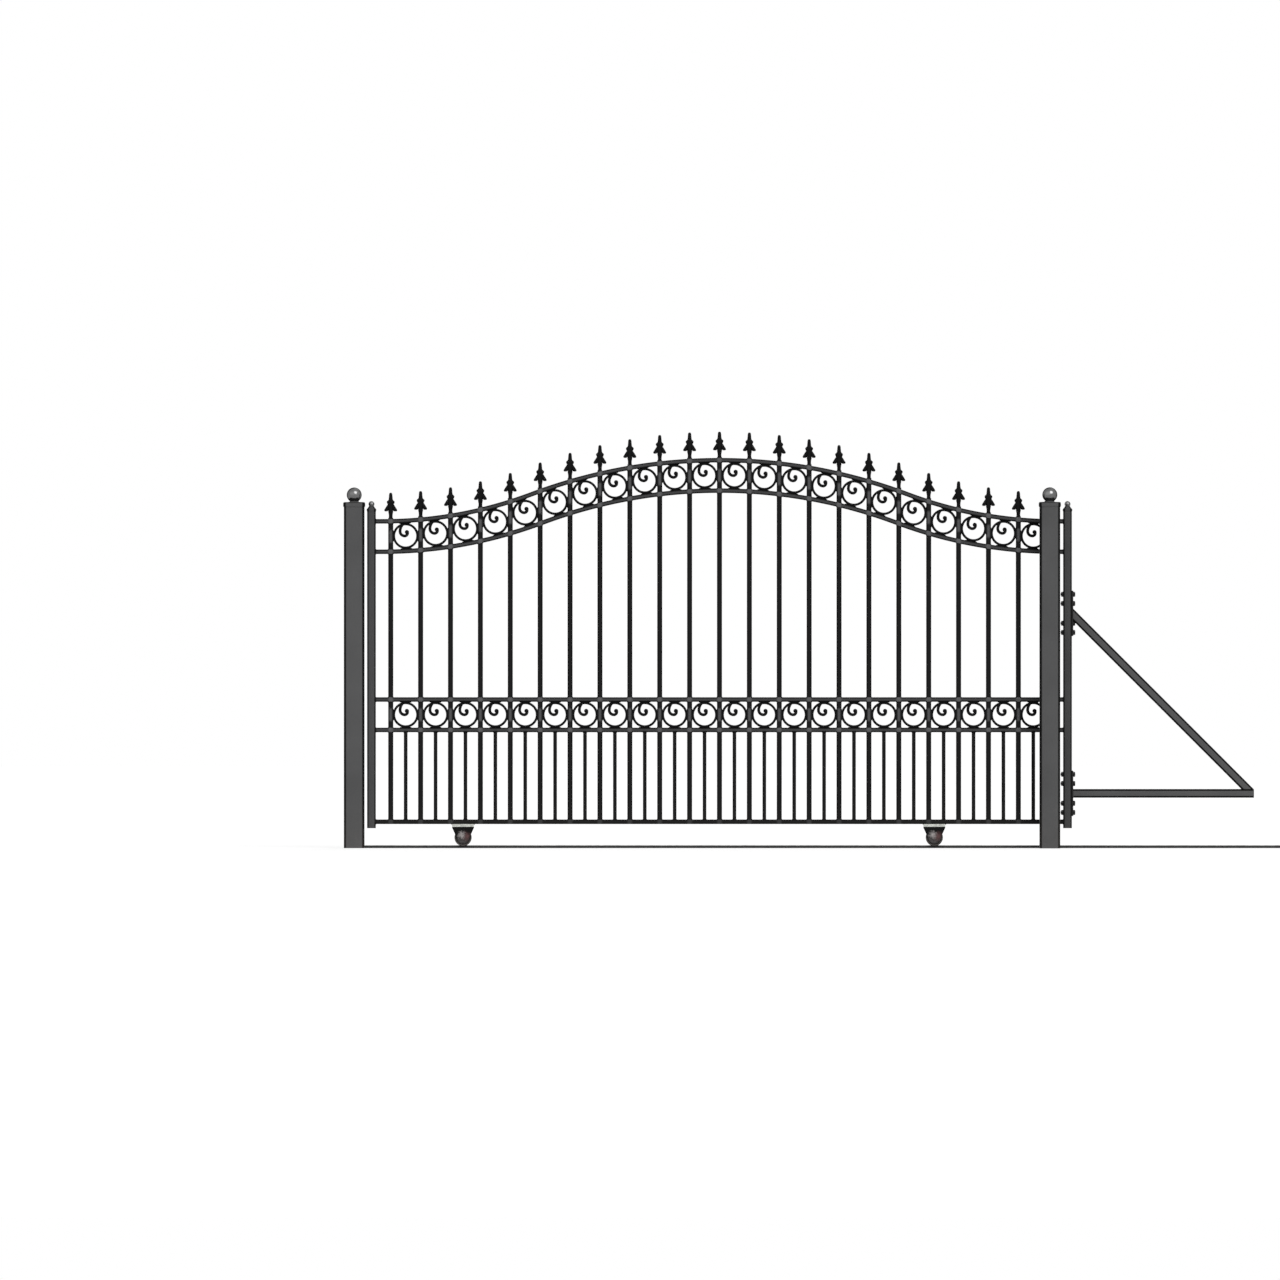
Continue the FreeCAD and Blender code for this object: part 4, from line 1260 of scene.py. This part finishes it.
class GATE_OT_rollers(bpy.types.Operator):
    """Turn the grooved wheels and bolt the roller brackets to their plates"""

    bl_idname = "gate.rollers"
    bl_label = "Rollers"

    def execute(self, context):
        for side, axle in AXLES.items():
            node = side + "_wheel"
            half = size_of(node).y / 2
            radius = size_of(node).z / 2 - WHEEL_PLAY
            profile = [(under - half, reach) for under, reach in WHEEL_HUB]
            profile += [(under - half, radius - depth) for under, depth in WHEEL_RIM]
            profile += [(-across, radius - depth) for across, depth in WHEEL_GROOVE]
            builder = bmesh.new()
            place = Matrix.Translation(axle) @ Matrix.Rotation(QUARTER, 4, "X")
            skin(builder, turned_loops(profile), place, closed=True)
            mesh = finished(builder, side + "_grooved_wheel", node)
            dress(mesh, side + "_roller", "wheel_steel", node)
        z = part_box("roller_brackets")[1].z - ROLLER_BOLT_DROP
        reach = PLATE_LENGTH / 2 - ROLLER_BOLT_INSET
        points = [(axle.x + side * reach, 0, z) for axle in AXLES.values() for side in (-1, 1)]
        size = (context.scene.gate_fixings.screw_head, *SMALL_SCREW)
        bolt_on("roller_bracket_bolts", points, DOWNWARD, size, "zinc", "leaf", "galvanised")
        return {"FINISHED"}


class GATE_OT_guide(bpy.types.Operator):
    """Turn the guide rollers and bolt their brackets on"""

    bl_idname = "gate.guide"
    bl_label = "Guide"

    def execute(self, context):
        across, deep, high = size_of("guide_rollers")
        centre = middle_of("guide_rollers")
        half = high / 2
        radius = across / 2 - GUIDE_ROLLER_PLAY
        edge = GUIDE_ROLLER_EDGE
        loops = turned_loops([(-half, BORE), (-half, radius - edge), (edge - half, radius)])
        builder = bmesh.new()
        for side in (-1, 1):
            y = centre.y + side * (deep / 2 - radius)
            skin(builder, loops, Matrix.Translation((centre.x, y, centre.z)), closed=True)
        mesh = finished(builder, "nylon_guide_rollers", "nylon")
        dress(mesh, "fixed_frame", "nylon", "guide_rollers")
        low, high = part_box("guide_brackets")
        points, facing = [], []
        for y, turn in ((low.y + GUIDE_BOLT_DEPTH, -QUARTER), (high.y - GUIDE_BOLT_DEPTH, QUARTER)):
            for z in (low.z + GUIDE_BOLT_INSET, high.z - GUIDE_BOLT_INSET):
                points.append((centre.x, y, z))
                facing.append((turn, 0.0, 0.0))
        size = (context.scene.gate_fixings.screw_head, *GUIDE_BOLT)
        bolt_on("guide_bracket_bolts", points, facing, size, "zinc", "fixed_frame", "galvanised")
        return {"FINISHED"}


class GATE_OT_track(bpy.types.Operator):
    """Screw the track down along both its flanges"""

    bl_idname = "gate.track"
    bl_label = "Track Screws"

    def execute(self, context):
        fixings = context.scene.gate_fixings
        pitch = fixings.screw_pitch
        low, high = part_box("track")
        count = int((high.x - low.x) / pitch)
        margin = (high.x - low.x - (count - 1) * pitch) / 2
        points = []
        for index in range(count):
            for y in (low.y + FLANGE_INSET, high.y - FLANGE_INSET):
                points.append((low.x + margin + index * pitch, y, FLANGE_TOP))
        size = (fixings.screw_head, *SMALL_SCREW)
        bolt_on("track_flange_screws", points, UPWARD, size, "bolt", "fixed_frame", "track_steel")
        return {"FINISHED"}


def cleared(owner):
    """The emptied node tree of a material or a world."""
    owner.use_nodes = True
    owner.node_tree.nodes.clear()
    return Web(owner.node_tree)


def end_seen(web, lit, seen, kind):
    """Ends a tree: one shader for light, another for the camera, reflections and glass."""
    path = web.tree.nodes.new("ShaderNodeLightPath").outputs
    direct = path["Is Camera Ray"]
    for name in ("Is Glossy Ray", "Is Transmission Ray"):
        direct = web.maths("MAXIMUM", direct, path[name])
    both = web.add("ShaderNodeMixShader", {0: direct, 1: lit, 2: seen})
    web.tree.links.new(both, web.tree.nodes.new(kind).inputs["Surface"])


def sun(name, strength, angle, direction):
    """A broad soft light from a direction."""
    lamp = bpy.data.lights.new(name, "SUN")
    lamp.energy = strength
    lamp.angle = math.radians(angle)
    turn = (-Vector(direction)).to_track_quat("-Z", "Y")
    linked(name, lamp).rotation_euler = turn.to_euler()


class GATE_OT_studio(bpy.types.Operator):
    """Lay a pale floor, light it softly and set the camera square to the leaf"""

    bl_idname = "gate.studio"
    bl_label = "Studio"

    def execute(self, context):
        studio = context.scene.gate_studio
        self.lay_floor(studio.floor_size, context.scene.gate_paint.floor)
        self.light(context, studio)
        self.set_camera(context, studio)
        context.scene.view_settings.view_transform = "Standard"
        return {"FINISHED"}

    def lay_floor(self, half, paint):
        mesh = bpy.data.meshes.new("studio_floor")
        places = ((-half, -half), (half, -half), (half, half), (-half, half))
        mesh.from_pydata([(x, y, FLOOR_Z) for x, y in places], [], [(0, 1, 2, 3)])
        material = bpy.data.materials.new("studio_floor")
        web = cleared(material)
        matt = web.add("ShaderNodeBsdfDiffuse", {"Color": (*paint, 1.0)})
        grey = (FLOOR_SHADE, FLOOR_SHADE, FLOOR_SHADE, 1.0)
        shade = web.add("ShaderNodeBsdfDiffuse", {"Color": grey})
        glow = web.add("ShaderNodeEmission", {"Color": WHITE, "Strength": FLOOR_GLOW})
        pale = web.add("ShaderNodeAddShader", {0: shade, 1: glow})
        end_seen(web, matt, pale, "ShaderNodeOutputMaterial")
        mesh.materials.append(material)
        floor = linked("studio_floor", mesh)

    def light(self, context, studio):
        sun("key_light", studio.key, 40, (0.36, -0.72, 0.62))
        sun("fill_light", studio.fill, 70, (-0.55, -0.8, 0.3))
        sun("back_light", studio.back, 50, (0.25, 0.8, 0.55))
        context.scene.world = bpy.data.worlds.new("studio_world")
        web = cleared(context.scene.world)
        soft, white = (
            web.add("ShaderNodeBackground", {"Color": WHITE, "Strength": strength})
            for strength in (studio.sky, 1.0)
        )
        end_seen(web, soft, white, "ShaderNodeOutputWorld")

    def set_camera(self, context, studio):
        data = bpy.data.cameras.new("photo_camera")
        data.sensor_width = SENSOR_WIDTH
        data.lens = studio.lens
        x = (PHOTO_SIDE / 2 - ORIGIN_PIXEL[0]) * METRES_PER_PIXEL
        z = (ORIGIN_PIXEL[1] - PHOTO_SIDE / 2) * METRES_PER_PIXEL
        distance = PHOTO_SIDE * METRES_PER_PIXEL * data.lens / data.sensor_width
        data.clip_end = 3 * distance
        camera = linked("photo_camera", data)
        camera.location = (x, -distance, z)
        camera.rotation_euler = (QUARTER, 0, 0)
        context.scene.camera = camera


OPERATORS = (
    GATE_OT_finishes,
    GATE_OT_posts,
    GATE_OT_stiles,
    GATE_OT_rails,
    GATE_OT_pickets,
    GATE_OT_rings,
    GATE_OT_spears,
    GATE_OT_welds,
    GATE_OT_tail,
    GATE_OT_rollers,
    GATE_OT_guide,
    GATE_OT_track,
    GATE_OT_studio,
)

SETTINGS = {
    "gate_bars": GateBarSettings,
    "gate_castings": GateCastingSettings,
    "gate_fixings": GateFixingSettings,
    "gate_paint": GatePaintSettings,
    "gate_studio": GateStudioSettings,
}


class VIEW3D_PT_gate(bpy.types.Panel):
    """Sizes, paints and the pieces of the gate"""

    bl_label = "Sliding Gate"
    bl_space_type = "VIEW_3D"
    bl_region_type = "UI"
    bl_category = "Gate"

    def draw(self, context):
        layout = self.layout
        for operator in OPERATORS:
            layout.operator(operator.bl_idname)
        for name, group in SETTINGS.items():
            box = layout.box()
            for label in group.__annotations__:
                box.prop(getattr(context.scene, name), label)


CLASSES = (*SETTINGS.values(), *OPERATORS, VIEW3D_PT_gate)


def register():
    for item in CLASSES:
        bpy.utils.register_class(item)
    for name, group in SETTINGS.items():
        setattr(bpy.types.Scene, name, PointerProperty(type=group))


def unregister():
    for name in SETTINGS:
        delattr(bpy.types.Scene, name)
    for item in reversed(CLASSES):
        bpy.utils.unregister_class(item)


def main():
    register()
    for operator in OPERATORS:
        getattr(bpy.ops.gate, operator.bl_idname.removeprefix("gate."))()


if __name__ == "__main__":
    main()
